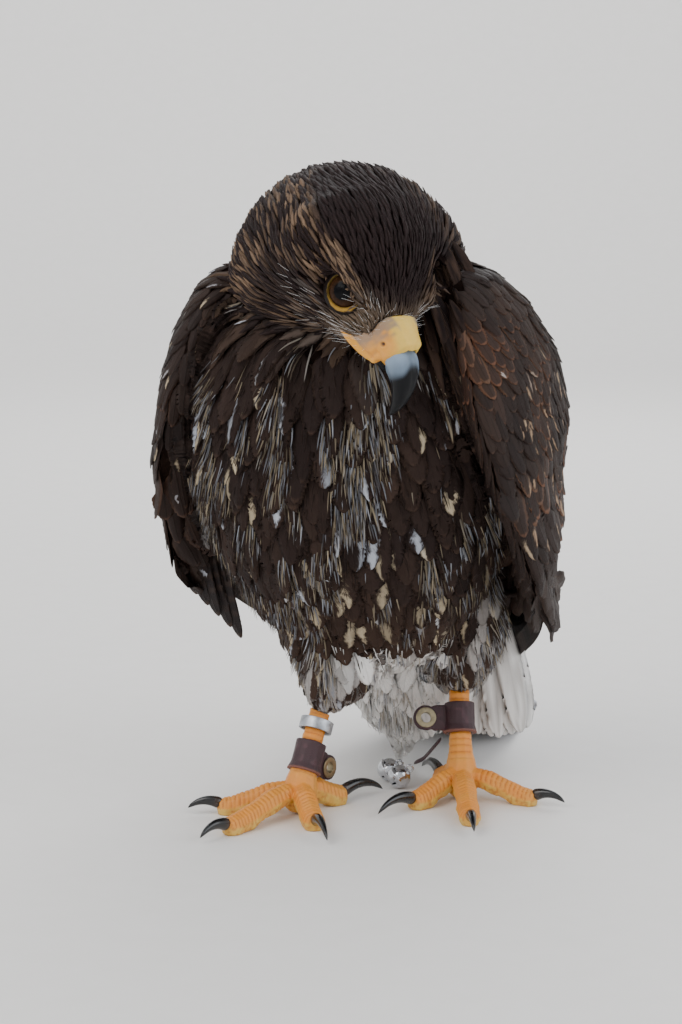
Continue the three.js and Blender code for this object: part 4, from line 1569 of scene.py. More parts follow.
def painted_material(name, roughness, grain, relief, spread=0.35, coat=0.0, stretch=(1, 1, 1), gloss=0.5):
    """A finish in the mesh's own paint, mottled and roughened by a fine grain."""
    material, tree, shader = new_material(name)
    where = stretched(tree, places(tree), tuple(grain * s for s in stretch))
    fine = noisy(tree, where, 1.0, 5.0, 0.65)
    broad = noisy(tree, where, 0.13, 3.0)
    tone = sums(tree, "MULTIPLY_ADD", sums(tree, "ADD", fine, broad), spread, 1 - spread)
    worn = sums(tree, "MULTIPLY_ADD", broad, 0.3, roughness - 0.15, clamp=True)
    bump(tree, shader, fine, relief, 0.0004)
    finish(material, Base_Color=toned(tree, painted(tree, "tint"), tone), Roughness=worn)
    finish(material, Coat_Weight=coat, Coat_Roughness=0.06, Specular_IOR_Level=gloss)
    return material


def shaped(nodes, voxel, rounds, grow=0.0002, extras=()):
    """A smooth closed copy of CAD nodes, its web of edges and its points."""
    mesh = remeshed(merged(nodes, grow, extras), voxel)
    web = Web(mesh)
    points = relaxed(web, points_of(mesh), rounds)
    move_points(mesh, points)
    return mesh, web, points


# Eyes and lids


def eye_frame(out):
    """The frame of an eye, with Z along its gaze."""
    x, y, z = EYE_CENTRE
    seat = HEAD @ Matrix.Translation(Vector((out * x, y, z)) * MM)
    gaze = Vector((out * EYE_AXIS[0], EYE_AXIS[1], EYE_AXIS[2]))
    return seat @ gaze.to_track_quat("Z", "Y").to_matrix().to_4x4()


def capped(profile, around, matrix):
    """A lathe without the faces that would join its last row to its first, so that both ends stay open.
    """
    points, (quads,) = lathe(profile, around, matrix)
    return points, [quads[: (len(profile) - 1) * around]]


def make_eyes():
    """Wet brown eyes with a round pupil."""
    shades = colours()
    material = painted_material("eye", 0.5, 1400.0, 0.02, 0.3, coat=0.3, gloss=0.0)
    finish(material, Coat_Roughness=0.02, Coat_IOR=1.34)
    rings = 72
    polar = np.concatenate([np.linspace(0.002, 0.95, rings), np.linspace(0.98, math.pi - 0.01, 20)])
    bulge = 0.55 * np.maximum(0, 1 - (polar / 0.8) ** 2)
    radius = EYE_RADIUS + bulge
    profile = np.stack([radius * np.sin(polar), radius * np.cos(polar)], axis=1)
    for side, out in (("right", 1), ("left", -1)):
        around = 72
        points, faces = capped(profile, around, eye_frame(out))
        first, last = np.arange(around), (len(profile) - 1) * around + np.arange(around)
        faces += [first[None, ::-1].copy(), last[None].copy()]
        mesh = mesh_of(f"eyeball_{side}", points, faces)
        reach = np.repeat(profile[:, 0], around)
        angle = np.tile(np.arange(around) * 2 * math.pi / around, len(profile))
        fibres = noise(np.stack([np.cos(angle) * 9, np.sin(angle) * 9, reach * 0.4], axis=1), 0.6, 8)
        warm = mixed(shades.iris * 0.35, shades.iris, fibres * ease(3.4, 5.6, reach))
        black = np.array((0.004, 0.004, 0.005))
        tint = mixed(black, warm, ease(PUPIL_RADIUS - 0.15, PUPIL_RADIUS + 0.15, reach))
        tint = mixed(tint, shades.iris * 0.25, ease(IRIS_RADIUS - 0.9, IRIS_RADIUS, reach))
        paint(mesh, "tint", tint)
        add_piece(f"eyeball_{side}", mesh, material, [f"eye_{side}"])


LID_PROFILE = (
    (7.25, 5.75),
    (7.35, 6.3),
    (7.75, 6.6),
    (8.2, 6.45),
    (8.8, 5.7),
    (9.6, 4.5),
    (10.4, 3),
    (10.6, 0),
)


def make_lids():
    """Bare rims round the eyes that run out into dark skin under the feathers."""
    shades = colours()
    material = painted_material("lid", 0.5, 1500.0, 0.5, gloss=0.1)
    around = 96
    dense = path_points(np.array(LID_PROFILE), np.linspace(0, 1, 30))
    inner = [(r - 0.5, h - 0.5) for r, h in dense[::-6]]
    profile = np.vstack([dense, inner])
    for side, out in (("right", 1), ("left", -1)):
        matrix = eye_frame(out)
        points, faces = lathe(profile, around, matrix)
        mesh = mesh_of(f"lid_{side}", points, faces)
        local = into(matrix, points)
        reach = np.linalg.norm(local[:, :2], axis=1)
        beads = noise(local, 0.7, 4) - 0.5
        points = points + normals_of(mesh) * (beads * 0.3 * MM * ease(8.6, 7.4, reach))[:, None]
        move_points(mesh, points)
        facing = into(HEAD, points) @ np.array((0, 0.75, -0.65))
        warm = ease(-2, 9, facing - facing.mean())
        rim = mixed(shades.cere * (0.15, 0.14, 0.14), shades.cere * (0.5, 0.42, 0.4), warm)
        edge = reach + 0.5 * beads - 1.1 * ease(2, 9, facing - facing.mean())
        tint = mixed(rim, shades.crown * 0.4, ease(7.5, 8.0, edge))
        paint(mesh, "tint", tint)
        add_piece(f"lid_{side}", mesh, material)


# Bill and cere


NOSTRIL = (9.3, 36.6, 3.4)
CHEEK_STATIONS = (
    (13.6, 20, -4, 2.2, 3.6),
    (12.2, 25, -3.4, 2.6, 4.2),
    (10.4, 31, -2.6, 2.8, 4.6),
    (8.2, 37, -2, 2.4, 4.6),
)


def ridged(share, angle):
    """The swelling of the bill's section: a ridge on top, square at the cutting edge."""
    rise, out = np.sin(angle), np.abs(np.cos(angle))
    return np.where(rise > 0, 1 - 0.56 * rise * out, 1 - 0.4 * rise * out * (1 - share))


def make_bill():
    """The hooked upper bill, the lower bill, and the cere with its nostrils and lips."""
    shades = colours()
    stations = np.array(UPPER_BILL_STATIONS, float)
    sunk = np.linspace(1, 0, len(stations))
    stations[:, 1:3] -= sunk[:, None] * (2.2, 2.8)
    points, faces = loft(stations, 48, 72, bulge=ridged)
    mesh = solid_of("beak_upper", outof(HEAD, points), faces)
    arc = (points[:, 1] - 40) * 1.2 + (2 - points[:, 2]) * 0.5
    ridge = ease(5, 1.2, np.abs(points[:, 0])) * ease(-2, 4, points[:, 2] - 46 + points[:, 1])
    arc = arc + 5 * ridge
    tip = ease(11.5, 17, arc + 2.2 * (noise(points * (1.5, 0.6, 0.6), 2.2, 2) - 0.5))
    blue = mixed(shades.horn * 1.1, shades.horn * 0.7, ease(4, 12, arc))
    paint(mesh, "tint", mixed(blue, shades.black, tip))
    horn = painted_material("bill horn", 0.36, 260.0, 0.05, 0.25, 0.12, (1, 1, 0.3), 0.12)
    add_piece("beak_upper", mesh, horn, ["bill_upper"])

    mesh, _, points = shaped(["bill_lower"], voxel=0.0005, rounds=4)
    local = into(HEAD, points)
    local[:, 1] = np.where(local[:, 1] > 20, 20 + (local[:, 1] - 20) * 0.82, local[:, 1])
    local[:, 2] += 2.6 * ease(20, 34, local[:, 1])
    move_points(mesh, outof(HEAD, local))
    paint(mesh, "tint", mixed(shades.horn * 0.35, shades.black, ease(30, 40, local[:, 1])))
    add_piece("beak_lower", mesh, horn, ["bill_lower"])

    cheeks = []
    for out in (1, -1):
        stations = [(out * x, y, z, w, h) for x, y, z, w, h in CHEEK_STATIONS]
        cheek, cheek_faces = loft(stations, 20, 16, ends=4)
        cheeks.append(solid_of("cheek", outof(HEAD, cheek), cheek_faces))
    mesh, web, points = shaped(["cere"], voxel=0.00042, rounds=15, extras=cheeks)
    local = into(HEAD, points)
    nostril = np.array(NOSTRIL)
    mirrored = np.stack([np.abs(local[:, 0]), local[:, 1], local[:, 2]], axis=1)
    gap = (mirrored - nostril) / np.array((2.2, 1.5, 1.25))
    hole = np.linalg.norm(gap, axis=1)
    normals = normals_of(mesh)
    dent = -1.5 * ease(1.15, 0.35, hole) + 0.22 * ease(0.4, 0, np.abs(hole - 1.35))
    folds = 0.3 * (noise(local * (1, 1.6, 1), 2.4, 7) - 0.5)
    groove = -0.5 * ease(0.7, 0.1, np.abs(local[:, 2] + 4.5)) * ease(4, 6, mirrored[:, 0])
    points = points + normals * ((dent + folds + groove) * MM)[:, None]
    pinch = 0.34 * ease(0, 8, local[:, 2]) * ease(24, 38, local[:, 1])
    points = outof(HEAD, into(HEAD, points) * np.stack([1 - pinch, 1 + 0 * pinch, 1 + 0 * pinch], axis=1))
    move_points(mesh, web.spread(points, 1))
    corner = ease(11.6, 12.6, mirrored[:, 0]) * ease(22, 19, local[:, 1])
    lips = np.maximum(ease(-4.7, -5.6, local[:, 2]), corner)
    tint = mixed(shades.cere, shades.cere * (0.95, 0.86, 0.62), noise(local, 5, 9))
    low = ease(3.5, 8.5, mirrored[:, 0] - 0.5 * local[:, 2])
    blush = np.maximum(ease(2.8, 1.0, hole) * 0.65, 0.75 * low)
    tint = mixed(tint, shades.lip * (1, 0.8, 0.95), blush)
    loral = ease(37, 31, local[:, 1] + folds / 0.06) * ease(5.5, 8.5, mirrored[:, 0])
    tint = mixed(tint, mixed(shades.cere, shades.grey, 0.75) * (0.8, 0.72, 0.9), 0.9 * loral)
    tint = mixed(tint, shades.lip, lips)
    # Painted shade: the nostrils, only shallow dents, are painted near-black for the shade deep inside
    # the holes.
    tint = mixed(tint, np.array((0.05, 0.02, 0.012)), ease(1.05, 0.6, hole))
    paint(mesh, "tint", tint)
    skin = painted_material("cere skin", 0.42, 700.0, 0.3, 0.22)
    finish(skin, Subsurface_Weight=0.12, Subsurface_Radius=(0.002, 0.001, 0.0005))
    add_piece("cere_skin", mesh, skin, ["cere"])


# Bristles, by a node tree that sets a small shape on each point


def strew_tree():
    """A geometry tree: a tapered rod on each point, along the point's aim."""
    tree = bpy.data.node_groups.new("strew rods", "GeometryNodeTree")
    sockets = (
        ("Geometry", "Geometry", None),
        ("Length", "Float", 0.006),
        ("Root radius", "Float", 0.0002),
        ("Tip radius", "Float", 0.00003),
        ("Variation", "Float", 0.35),
        ("Sides", "Int", 4),
        ("Material", "Material", None),
    )
    for label, kind, value in sockets:
        socket = tree.interface.new_socket(label, in_out="INPUT", socket_type=f"NodeSocket{kind}")
        if value is not None:
            socket.default_value = value
    tree.interface.new_socket("Geometry", in_out="OUTPUT", socket_type="NodeSocketGeometry")
    given = tree.nodes.new("NodeGroupInput").outputs
    rod = node(
        tree, "GeometryNodeMeshCone", Vertices=given["Sides"], Side_Segments=4,
        Radius_Top=given["Tip radius"], Radius_Bottom=given["Root radius"], Depth=given["Length"],
    )
    aim = node(tree, "GeometryNodeInputNamedAttribute", {"data_type": "FLOAT_VECTOR"}, Name="aim")
    turn = node(tree, "FunctionNodeAlignRotationToVector", {"axis": "Z"}, Vector=aim.outputs["Attribute"])
    low = sums(tree, "SUBTRACT", 1.0, given["Variation"])
    luck = node(tree, "FunctionNodeRandomValue", {"data_type": "FLOAT"}, Seed=17, in_2=low, in_3=1.0)
    strew = node(
        tree, "GeometryNodeInstanceOnPoints", Points=given["Geometry"], Instance=rod.outputs["Mesh"],
        Rotation=turn.outputs["Rotation"], Scale=luck.outputs[1],
    )
    real = node(tree, "GeometryNodeRealizeInstances", Geometry=strew.outputs["Instances"])
    smooth = node(tree, "GeometryNodeSetShadeSmooth", Geometry=real.outputs[0])
    clad = node(tree, "GeometryNodeSetMaterial", Geometry=smooth.outputs[0], Material=given["Material"])
    node(tree, "NodeGroupOutput", Geometry=clad.outputs[0])
    return tree


def strewn(name, points, aims, material, **sizes):
    """A plain mesh of rods on points, made by the tree."""
    mesh = bpy.data.meshes.new(name)
    mesh.vertices.add(len(points))
    write(mesh.vertices, "co", points)
    write(mesh.attributes.new("aim", "FLOAT_VECTOR", "POINT").data, "vector", aims)
    holder = linked(name, mesh)
    tree = bpy.data.node_groups.get("strew rods") or strew_tree()
    modifier = holder.modifiers.new("strew", "NODES")
    modifier.node_group = tree
    wanted = dict(sizes, Material=material)
    for item in tree.interface.items_tree:
        if item.in_out == "INPUT" and item.name.replace(" ", "_") in wanted:
            modifier[item.identifier] = wanted[item.name.replace(" ", "_")]
    return settled(holder)


def bristle_material():
    """Thin pale and dark bristles."""
    material, tree, shader = new_material("bristle")
    tone = noisy(tree, places(tree), 420.0, 2.0)
    colour = blended(tree, ranged(tree, tone, 0.42, 0.62), colours().dark, colours().grey * 0.5)
    finish(material, Base_Color=colour, Roughness=0.6)
    bump(tree, shader, tone, 0.2, 0.0001)
    return material


def make_bristles():
    """Bristles of the lores and the brow of the cere."""
    skin = made["skin"]
    local = into(HEAD, skin["centres"])
    ahead, up = local[:, 1], local[:, 2]
    lores = ease(14, 22, ahead) * ease(14, 9, up)
    cheek = ease(-14, -4, ahead) * ease(2, -5, up) * ease(-30, -22, up)
    wanted = np.clip(lores * ease(-9, -3, up) + 0.16 * cheek, 0, 1)
    wanted = part_of(skin["regions"], "head") * wanted * np.where(local[:, 0] < 0, 0.5, 1.0)
    faces, places_at = roots_of(41, np.full(len(ahead), 1.45 * MM), wanted + 1e-6)
    draw = np.random.default_rng(42)
    stray = 0.45 * (draw.random((len(faces), 3)) - 0.5)
    aims = unit(skin["field"][faces] + 0.4 * skin["normals"][faces] + stray)
    length = 6.5 * MM
    tips = into(HEAD, places_at + aims * length)
    gap = np.linalg.norm(np.abs(tips) * (1, 0, 0) + tips * (0, 1, 1) - EYE_CENTRE, axis=1)
    chosen = (wanted[faces] > 0.08 + 0.5 * draw.random(len(faces))) & (gap > 13.4)
    places_at, aims = places_at[chosen], aims[chosen]
    points = places_at + aims * length * 0.4
    mesh = strewn(
        "bristles", points, aims, bristle_material(),
        Length=length, Root_radius=0.075 * MM, Tip_radius=0.03 * MM, Variation=0.5, Sides=4,
    )
    add_piece("bristles", mesh, mesh.materials[0])


# Legs, toes and claws


def heading(degrees):
    """The flat direction of a toe."""
    angle = math.radians(degrees)
    return np.array((math.sin(angle), -math.cos(angle), 0.0))


TOE_PADS = ((0.42, 0.75), (0.7, 0.95), (0.93, 0.6))


def make_feet():
    """The scaled legs and toes, each foot one skin, with plates, pads and grooves."""
    material = painted_material("leg scales", 0.5, 900.0, 0.45, 0.2)
    shades = colours()
    for side, foot in FEET.items():
        nodes = [f"tarsus_{side}"] + [f"toe_{side}_{toe}" for toe in TOES]
        mesh, _, points = shaped(nodes, voxel=0.00058, rounds=6, grow=0.0004)
        normals = normals_of(mesh)
        spot = into(WORLD, points)
        ankle, hock = np.array(foot["ankle"], float), np.array(foot["hock"], float)
        ground = ankle * (1, 1, 0)
        relief = np.zeros(len(points))
        groove = np.zeros(len(points))
        pad = np.zeros(len(points))
        top = ease(-0.15, 0.45, normals[:, 2])
        for toe, size in TOES.items():
            aim = heading(foot["toes"][toe])
            across = np.array((-aim[1], aim[0], 0))
            run = (spot - ground) @ aim
            off = (spot - ground) @ across
            mine = ease(9.5, 7.5, np.abs(off)) * ease(7, 12, run)
            mine = mine * ease(20, 15, spot[:, 2])
            pitch = 3.1 - 0.7 * np.clip(run / size["length"], 0, 1)
            ripple = np.abs(((run / pitch) % 1) - 0.5) * 2
            cut = ease(0.72, 1.0, ripple)
            relief += mine * top * (0.3 * (1 - ripple**2) - 0.42 * cut)
            groove = np.maximum(groove, mine * top * cut)
            for joint, swell in TOE_PADS:
                rise = mine * np.exp(-((run - joint * size["length"]) / 3.6) ** 2)
                relief += rise * swell * (0.25 + 0.75 * ease(0.3, -0.5, normals[:, 2]))
                pad = np.maximum(pad, rise * ease(0.2, -0.3, normals[:, 2]))
        shank = unit((hock - ankle)[None])[0]
        climb = (spot - ankle) @ shank
        radial = spot - ankle - climb[:, None] * shank
        front = ease(-0.1, 0.5, unit(radial) @ np.array((0, -1.0, 0)))
        leg = ease(4, 9, climb)
        ripple = np.abs(((climb / 3.3) % 1) - 0.5) * 2
        cut = ease(0.75, 1.0, ripple)
        relief += leg * front * (0.3 * (1 - ripple**2) - 0.38 * cut)
        groove = np.maximum(groove, leg * front * cut)
        pebbles = noise(spot, 1.15, 12)
        small = 1 - np.maximum(leg * front, top * (1 - leg))
        relief += small * 0.5 * (pebbles - 0.5)
        points = points + normals * (relief * MM)[:, None]
        points[:, 2] = np.maximum(points[:, 2], 0.1 * MM)
        move_points(mesh, points)
        tint = mixed(shades.scute, shades.scute * (1.02, 0.84, 0.62), noise(spot, 7, 13))
        tint = mixed(tint, shades.cere * 0.95, 0.5 * pad + 0.35 * small)
        tint = mixed(tint, shades.scute * (0.62, 0.42, 0.3), 0.75 * groove)
        tint = mixed(tint, shades.scute * (0.7, 0.5, 0.4), small * ease(0.42, 0.25, pebbles) * 0.6)
        paint(mesh, "tint", tint)
        add_piece(f"foot_{side}", mesh, material, nodes)


CLAW_BEND = 1.25


def make_claws():
    """Long curved claws, black and glossy, brown at the root."""
    shades = colours()
    horn = painted_material("claw horn", 0.24, 500.0, 0.06, 0.25, coat=0.4, stretch=(1, 1, 0.4))
    for side, foot in FEET.items():
        ground = np.array(foot["ankle"], float) * (1, 1, 0)
        for toe, size in TOES.items():
            aim = heading(foot["toes"][toe])
            start = 0.42 * CLAW_BEND
            curl = size["claw"] / CLAW_BEND
            shares = np.linspace(0, 1, 9)
            angle = CLAW_BEND * shares - start
            out = size["length"] - 1.5 + curl * (np.sin(angle) + math.sin(start))
            rise = 5 + curl * (np.cos(angle) - math.cos(start))
            thick = 0.62 * size["radius"] * (1 - shares) ** 0.75 + 0.35
            path = ground + out[:, None] * aim + rise[:, None] * np.array((0, 0, 1.0))
            stations = np.column_stack([path, thick * 0.85, thick])
            points, faces = loft(stations, 20, 34, side=(-aim[1], aim[0], 0), ends=12)
            placed_points = outof(WORLD, points)
            placed_points[:, 2] = np.maximum(placed_points[:, 2], 0.15 * MM)
            mesh = solid_of(f"talon_{side}_{toe}", placed_points, faces)
            run = (points - ground) @ aim - size["length"]
            root = ease(3.5, 0.5, run)
            paint(mesh, "tint", mixed(shades.black, shades.brown * 0.9, 0.6 * root))
            add_piece(f"talon_{side}_{toe}", mesh, horn, [f"claw_{side}_{toe}"])


# Anklets, eyelets, ring and bells


CUFFS = {"right": {"share": 0.1, "flap": 52}, "left": {"share": 0.26, "flap": 186}}
FLAP_REACH = 17
CUFF_HEIGHT = 15
EYELET_PROFILE = (
    (2.6, -1.9),
    (4.9, -1.9),
    (5.1, -1.45),
    (3.3, -1.45),
    (3.3, 1.45),
    (5.1, 1.45),
    (4.9, 1.9),
    (2.6, 1.9),
)
STRAP_STATIONS = (
    (49.5, 24, 27, 2.4, 0.7),
    (45, 26, 21, 2.4, 0.7),
    (41, 29, 15.5, 2.4, 0.7),
    (36.6, 32, 12.4, 2.2, 0.7),
)
RING = {"bore": 6.9, "outside": 8.1, "height": 5.5, "above": 0.3}


def cuff_frame(side):
    """The frame of an anklet: Z up the leg, X out along its flap."""
    foot, cuff = FEET[side], CUFFS[side]
    ankle, hock = Vector(foot["ankle"]), Vector(foot["hock"])
    place = ankle.lerp(hock, cuff["share"]) * MM - CENTRE
    upright = Vector((0, 0, 1)).rotation_difference((hock - ankle).normalized())
    turn = Matrix.Rotation(math.radians(cuff["flap"]), 4, "Z")
    return Matrix.Translation(place) @ upright.to_matrix().to_4x4() @ turn


def rounded(corners, bevel, steps=4):
    """A closed outline with its corners rounded."""
    corners = np.asarray(corners, float)
    outline = []
    for number, corner in enumerate(corners):
        before, after = corners[number - 1], corners[(number + 1) % len(corners)]
        enter = corner + (before - corner) * bevel / np.linalg.norm(before - corner)
        leave = corner + (after - corner) * bevel / np.linalg.norm(after - corner)
        for step in np.linspace(0, 1, steps):
            outline.append((1 - step) ** 2 * enter + 2 * step * (1 - step) * corner + step**2 * leave)
    return np.array(outline)


def metal_material(name, colour, roughness, scratches):
    """A bare metal with fine scratches and dull patches."""
    material, tree, shader = new_material(name)
    where = places(tree)
    lines = noisy(tree, stretched(tree, where, (300, 300, 4200)), 1.0, 3.0)
    patches = noisy(tree, where, 320.0, 3.0)
    tone = blended(tree, ranged(tree, patches, 0.4, 0.75), colour, tuple(value * 0.6 for value in colour))
    worn = sums(tree, "MULTIPLY", lines, patches)
    worn = sums(tree, "MULTIPLY_ADD", worn, scratches, roughness, clamp=True)
    finish(material, Base_Color=tone, Roughness=worn, Metallic=1)
    bump(tree, shader, lines, 0.15 * scratches, 0.0002)
    return material


def make_anklets():
    """Leather anklets with raw lower edges, the eyelets in their flaps, and the strap of the bells."""
    shades = colours()
    leather = painted_material("anklet leather", 0.5, 1500.0, 0.7, 0.4)
    brass = metal_material("eyelet brass", from_srgb(168, 156, 128), 0.3, 0.4)
    for side in FEET:
        matrix = cuff_frame(side)
        mesh, _, points = shaped([f"anklet_{side}"], voxel=0.00052, rounds=5, grow=0)
        local = into(matrix, points)
        creases = noise(local * (1, 1, 0.35), 2.6, 21) - 0.5
        points = points + normals_of(mesh) * (creases * 0.35 * MM)[:, None]
        move_points(mesh, points)
        reach = np.linalg.norm(local[:, :2], axis=1)
        raw = ease(1.5, 0.7, local[:, 2]) * ease(6.2, 7.4, reach)
        scuffs = ease(0.62, 0.85, noise(local, 2.2, 23)) * 0.45
        tint = mixed(shades.leather, shades.leather * 2.3, scuffs)
        tint = mixed(tint, from_srgb(120, 74, 62), raw)
        paint(mesh, "tint", tint)
        add_piece(f"cuff_{side}", mesh, leather, [f"anklet_{side}"])

        flat = matrix @ Matrix.Translation(Vector((FLAP_REACH, 0, CUFF_HEIGHT / 2)) * MM)
        flat = flat @ Matrix.Rotation(math.pi / 2, 4, "X")
        points, faces = lathe(rounded(EYELET_PROFILE, 0.12), 48, flat)
        mesh = solid_of(f"grommet_{side}", points, faces)
        add_piece(f"grommet_{side}", mesh, brass, [f"eyelet_{side}"])
    points, faces = loft(STRAP_STATIONS, 24, 36, side=(0.1, 1, 0.1), ends=14)
    mesh = solid_of("bell_strap", outof(WORLD, points), faces)
    paint(mesh, "tint", np.tile(shades.leather, (len(points), 1)))
    add_piece("bell_strap", mesh, leather, ["bewit"])


def make_ring():
    """A plain bare metal ring above the right anklet."""
    bore, outside, height, above = RING.values()
    matrix = cuff_frame("right") @ Matrix.Translation(Vector((0, 0, CUFF_HEIGHT + above + height)) * MM)
    section = ((bore, 0), (outside, 0), (outside, height), (bore, height))
    points, faces = lathe(rounded(section, 0.3, 5), 96, matrix)
    mesh = solid_of("leg_ring", points, faces)
    material = metal_material("ring metal", from_srgb(190, 194, 200), 0.26, 0.7)
    add_piece("leg_ring", mesh, material, ["ring"])


BELL_RADIUS = 5.8
BELL_INSIDE = 5.1
BELL_SLOT = (0.0013, 0.02, 0.0062)
BELLS = {
    "bell_front": {"at": (29, 29, 6.2), "loop": (0.75, -0.1, 0.65)},
    "bell_back": {"at": (24, 42, 6.2), "loop": (0.8, -0.25, 0.55)},
}


def make_bells():
    """Two round hollow bells with a seam, a slot, a loop and a ball inside."""
    material = metal_material("bell metal", from_srgb(205, 207, 212), 0.1, 0.35)
    polar = np.linspace(0.04, math.pi - 0.04, 40)
    seam = 0.42 * np.exp(-(((polar - math.pi / 2) / 0.06) ** 4))
    outer = np.stack([(BELL_RADIUS + seam) * np.sin(polar), -BELL_RADIUS * np.cos(polar)], axis=1)
    inner = (np.stack([np.sin(polar), -np.cos(polar)], axis=1) * BELL_INSIDE)[::-1]
    for name, bell in BELLS.items():
        upright = Vector((0, 0, 1)).rotation_difference(Vector(bell["loop"]).normalized())
        matrix = Matrix.Translation(Vector(bell["at"]) * MM - CENTRE) @ upright.to_matrix().to_4x4()
        points, faces = lathe(np.vstack([outer, inner]), 64, matrix)
        shell = solid_of(name, points, faces)
        slot_box = bmesh.new()
        bmesh.ops.create_cube(slot_box, size=1)
        seat = Matrix.Translation((0, 0, -0.0052)) @ Matrix.Diagonal((*BELL_SLOT, 1))
        bmesh.ops.transform(slot_box, matrix=matrix @ seat, verts=slot_box.verts)
        shell = cut_out(shell, slot_box)
        ball = bmesh.new()
        ball.from_mesh(shell)
        ring, ring_faces = loft_ring(1.75, 0.55, 6.6)
        clapper, clapper_faces = ball_of(1.6, -3.2)
        for extra, extra_faces in ((ring, ring_faces), (clapper, clapper_faces)):
            scratch = solid_of("scratch", outof(matrix, extra), extra_faces)
            ball.from_mesh(scratch)
            bpy.data.meshes.remove(scratch)
        ball.to_mesh(shell)
        ball.free()
        shell.shade_smooth()
        add_piece(f"round_{name}", shell, material, [name])


def cut_out(mesh, tool):
    """The mesh with the tool's shape cut out of it."""
    holder = linked("scratch", mesh)
    cutter_mesh = bpy.data.meshes.new("cutter")
    tool.to_mesh(cutter_mesh)
    tool.free()
    cutter = linked("cutter", cutter_mesh)
    modifier = holder.modifiers.new("cut", "BOOLEAN")
    modifier.operation = "DIFFERENCE"
    modifier.solver = "EXACT"
    modifier.object = cutter
    result = settled(holder)
    bpy.data.objects.remove(cutter)
    bpy.data.meshes.remove(cutter_mesh)
    return result


def loft_ring(radius, thickness, height):
    """Points and faces of an upright wire ring, in millimetres."""
    around, along = 12, 32
    turn = (np.arange(along) * 2 * math.pi / along)[:, None]
    roll = (np.arange(around) * 2 * math.pi / around)[None]
    reach = radius + thickness * np.cos(roll)
    across = thickness * np.sin(roll) + 0 * turn
    points = np.stack([reach * np.cos(turn), across, height + reach * np.sin(turn)], axis=-1)
    return points.reshape(-1, 3), [tube_faces(along, around)]


def ball_of(radius, height):
    """Points and faces of a ball, in millimetres."""
    stations = [(0, 0, height + step * radius, radius, radius) for step in (-1, 0, 1)]
    return loft(stations, 16, 12, ends=2)


# Settings that a user may change


class HawkSizes(bpy.types.PropertyGroup):
    """Sizes of the bird's finish."""

    skin_voxel: FloatProperty(
        name="Skin voxel",
        description="Side of the squares that the skin is rebuilt from",
        default=0.0017,
        min=0.0008,
        subtype="DISTANCE",
        unit="LENGTH",
    )


def shade(name, description, red, green, blue):
    """A colour that the user may change."""
    return FloatVectorProperty(
        name=name,
        description=description,
        default=from_srgb(red, green, blue),
        min=0,
        max=1,
        subtype="COLOR",
    )


class HawkColours(bpy.types.PropertyGroup):
    """Colours of the bird."""

    dark: shade("Dark", "Dark ground of the breast and back", 29, 21, 21)
    brown: shade("Brown", "Worn brown of feather rims", 70, 54, 45)
    tawny: shade("Tawny", "Warm rim of the back feathers", 92, 70, 55)
    chestnut: shade("Chestnut", "Rims of the lesser coverts", 122, 82, 62)
    buff: shade("Buff", "Eyebrow and nape streaks", 152, 126, 102)
    cream: shade("Cream", "Warm streaks of the breast", 200, 184, 156)
    white: shade("White", "Cool streaks of the breast", 192, 197, 208)
    snow: shade("Snow", "White of the vent and the tail", 244, 243, 241)
    grey: shade("Grey", "Grizzled face and grey bars", 128, 120, 114)
    crown: shade("Crown", "Near-black crown", 42, 32, 32)
    cere: shade("Cere", "Bare skin at the root of the bill", 226, 192, 92)
    lip: shade("Lip", "Bare skin of the gape", 226, 160, 52)
    horn: shade("Horn", "Blue-grey root of the bill", 128, 146, 166)
    black: shade("Black", "Tip of the bill and the claws", 10, 11, 15)
    scute: shade("Scute", "Plates of the legs and toes", 226, 152, 62)
    iris: shade("Iris", "Brown of the eye", 62, 40, 24)
    leather: shade("Leather", "Leather of the anklets", 58, 34, 40)


def power_property(name, description, default):
    """A light's power that the user may change."""
    return FloatProperty(name=name, description=description, default=default, unit="POWER")


class HawkStage(bpy.types.PropertyGroup):
    """The floor, the light and the camera."""

    lens: FloatProperty(
        name="Lens",
        description="Focal length of the camera",
        default=80.9,
        subtype="DISTANCE_CAMERA",
    )
    key_power: power_property("Key light", "Power of the soft light from the upper left", 18)
    fill_power: power_property("Fill light", "Power of the wide lights from the right and behind", 9)
    back_power: power_property("Back light", "Power of the light over the far floor", 25)
    sky: FloatProperty(name="Sky", description="Strength of the even light all round", default=0.9)


# Stage


CAMERA_PLACE = (-0.0126, -1.1443, 0.313)
CAMERA_PITCH = math.atan(360 / 2300)


def add_light(name, place, aim, size, power, colour):
    """A square soft light that faces a point."""
    light = bpy.data.lights.new(name, "AREA")
    light.size = size
    light.energy = power
    light.color = colour
    holder = linked(name, light)
    holder.location = place
    holder.rotation_euler = (Vector(aim) - Vector(place)).to_track_quat("-Z", "Y").to_euler()


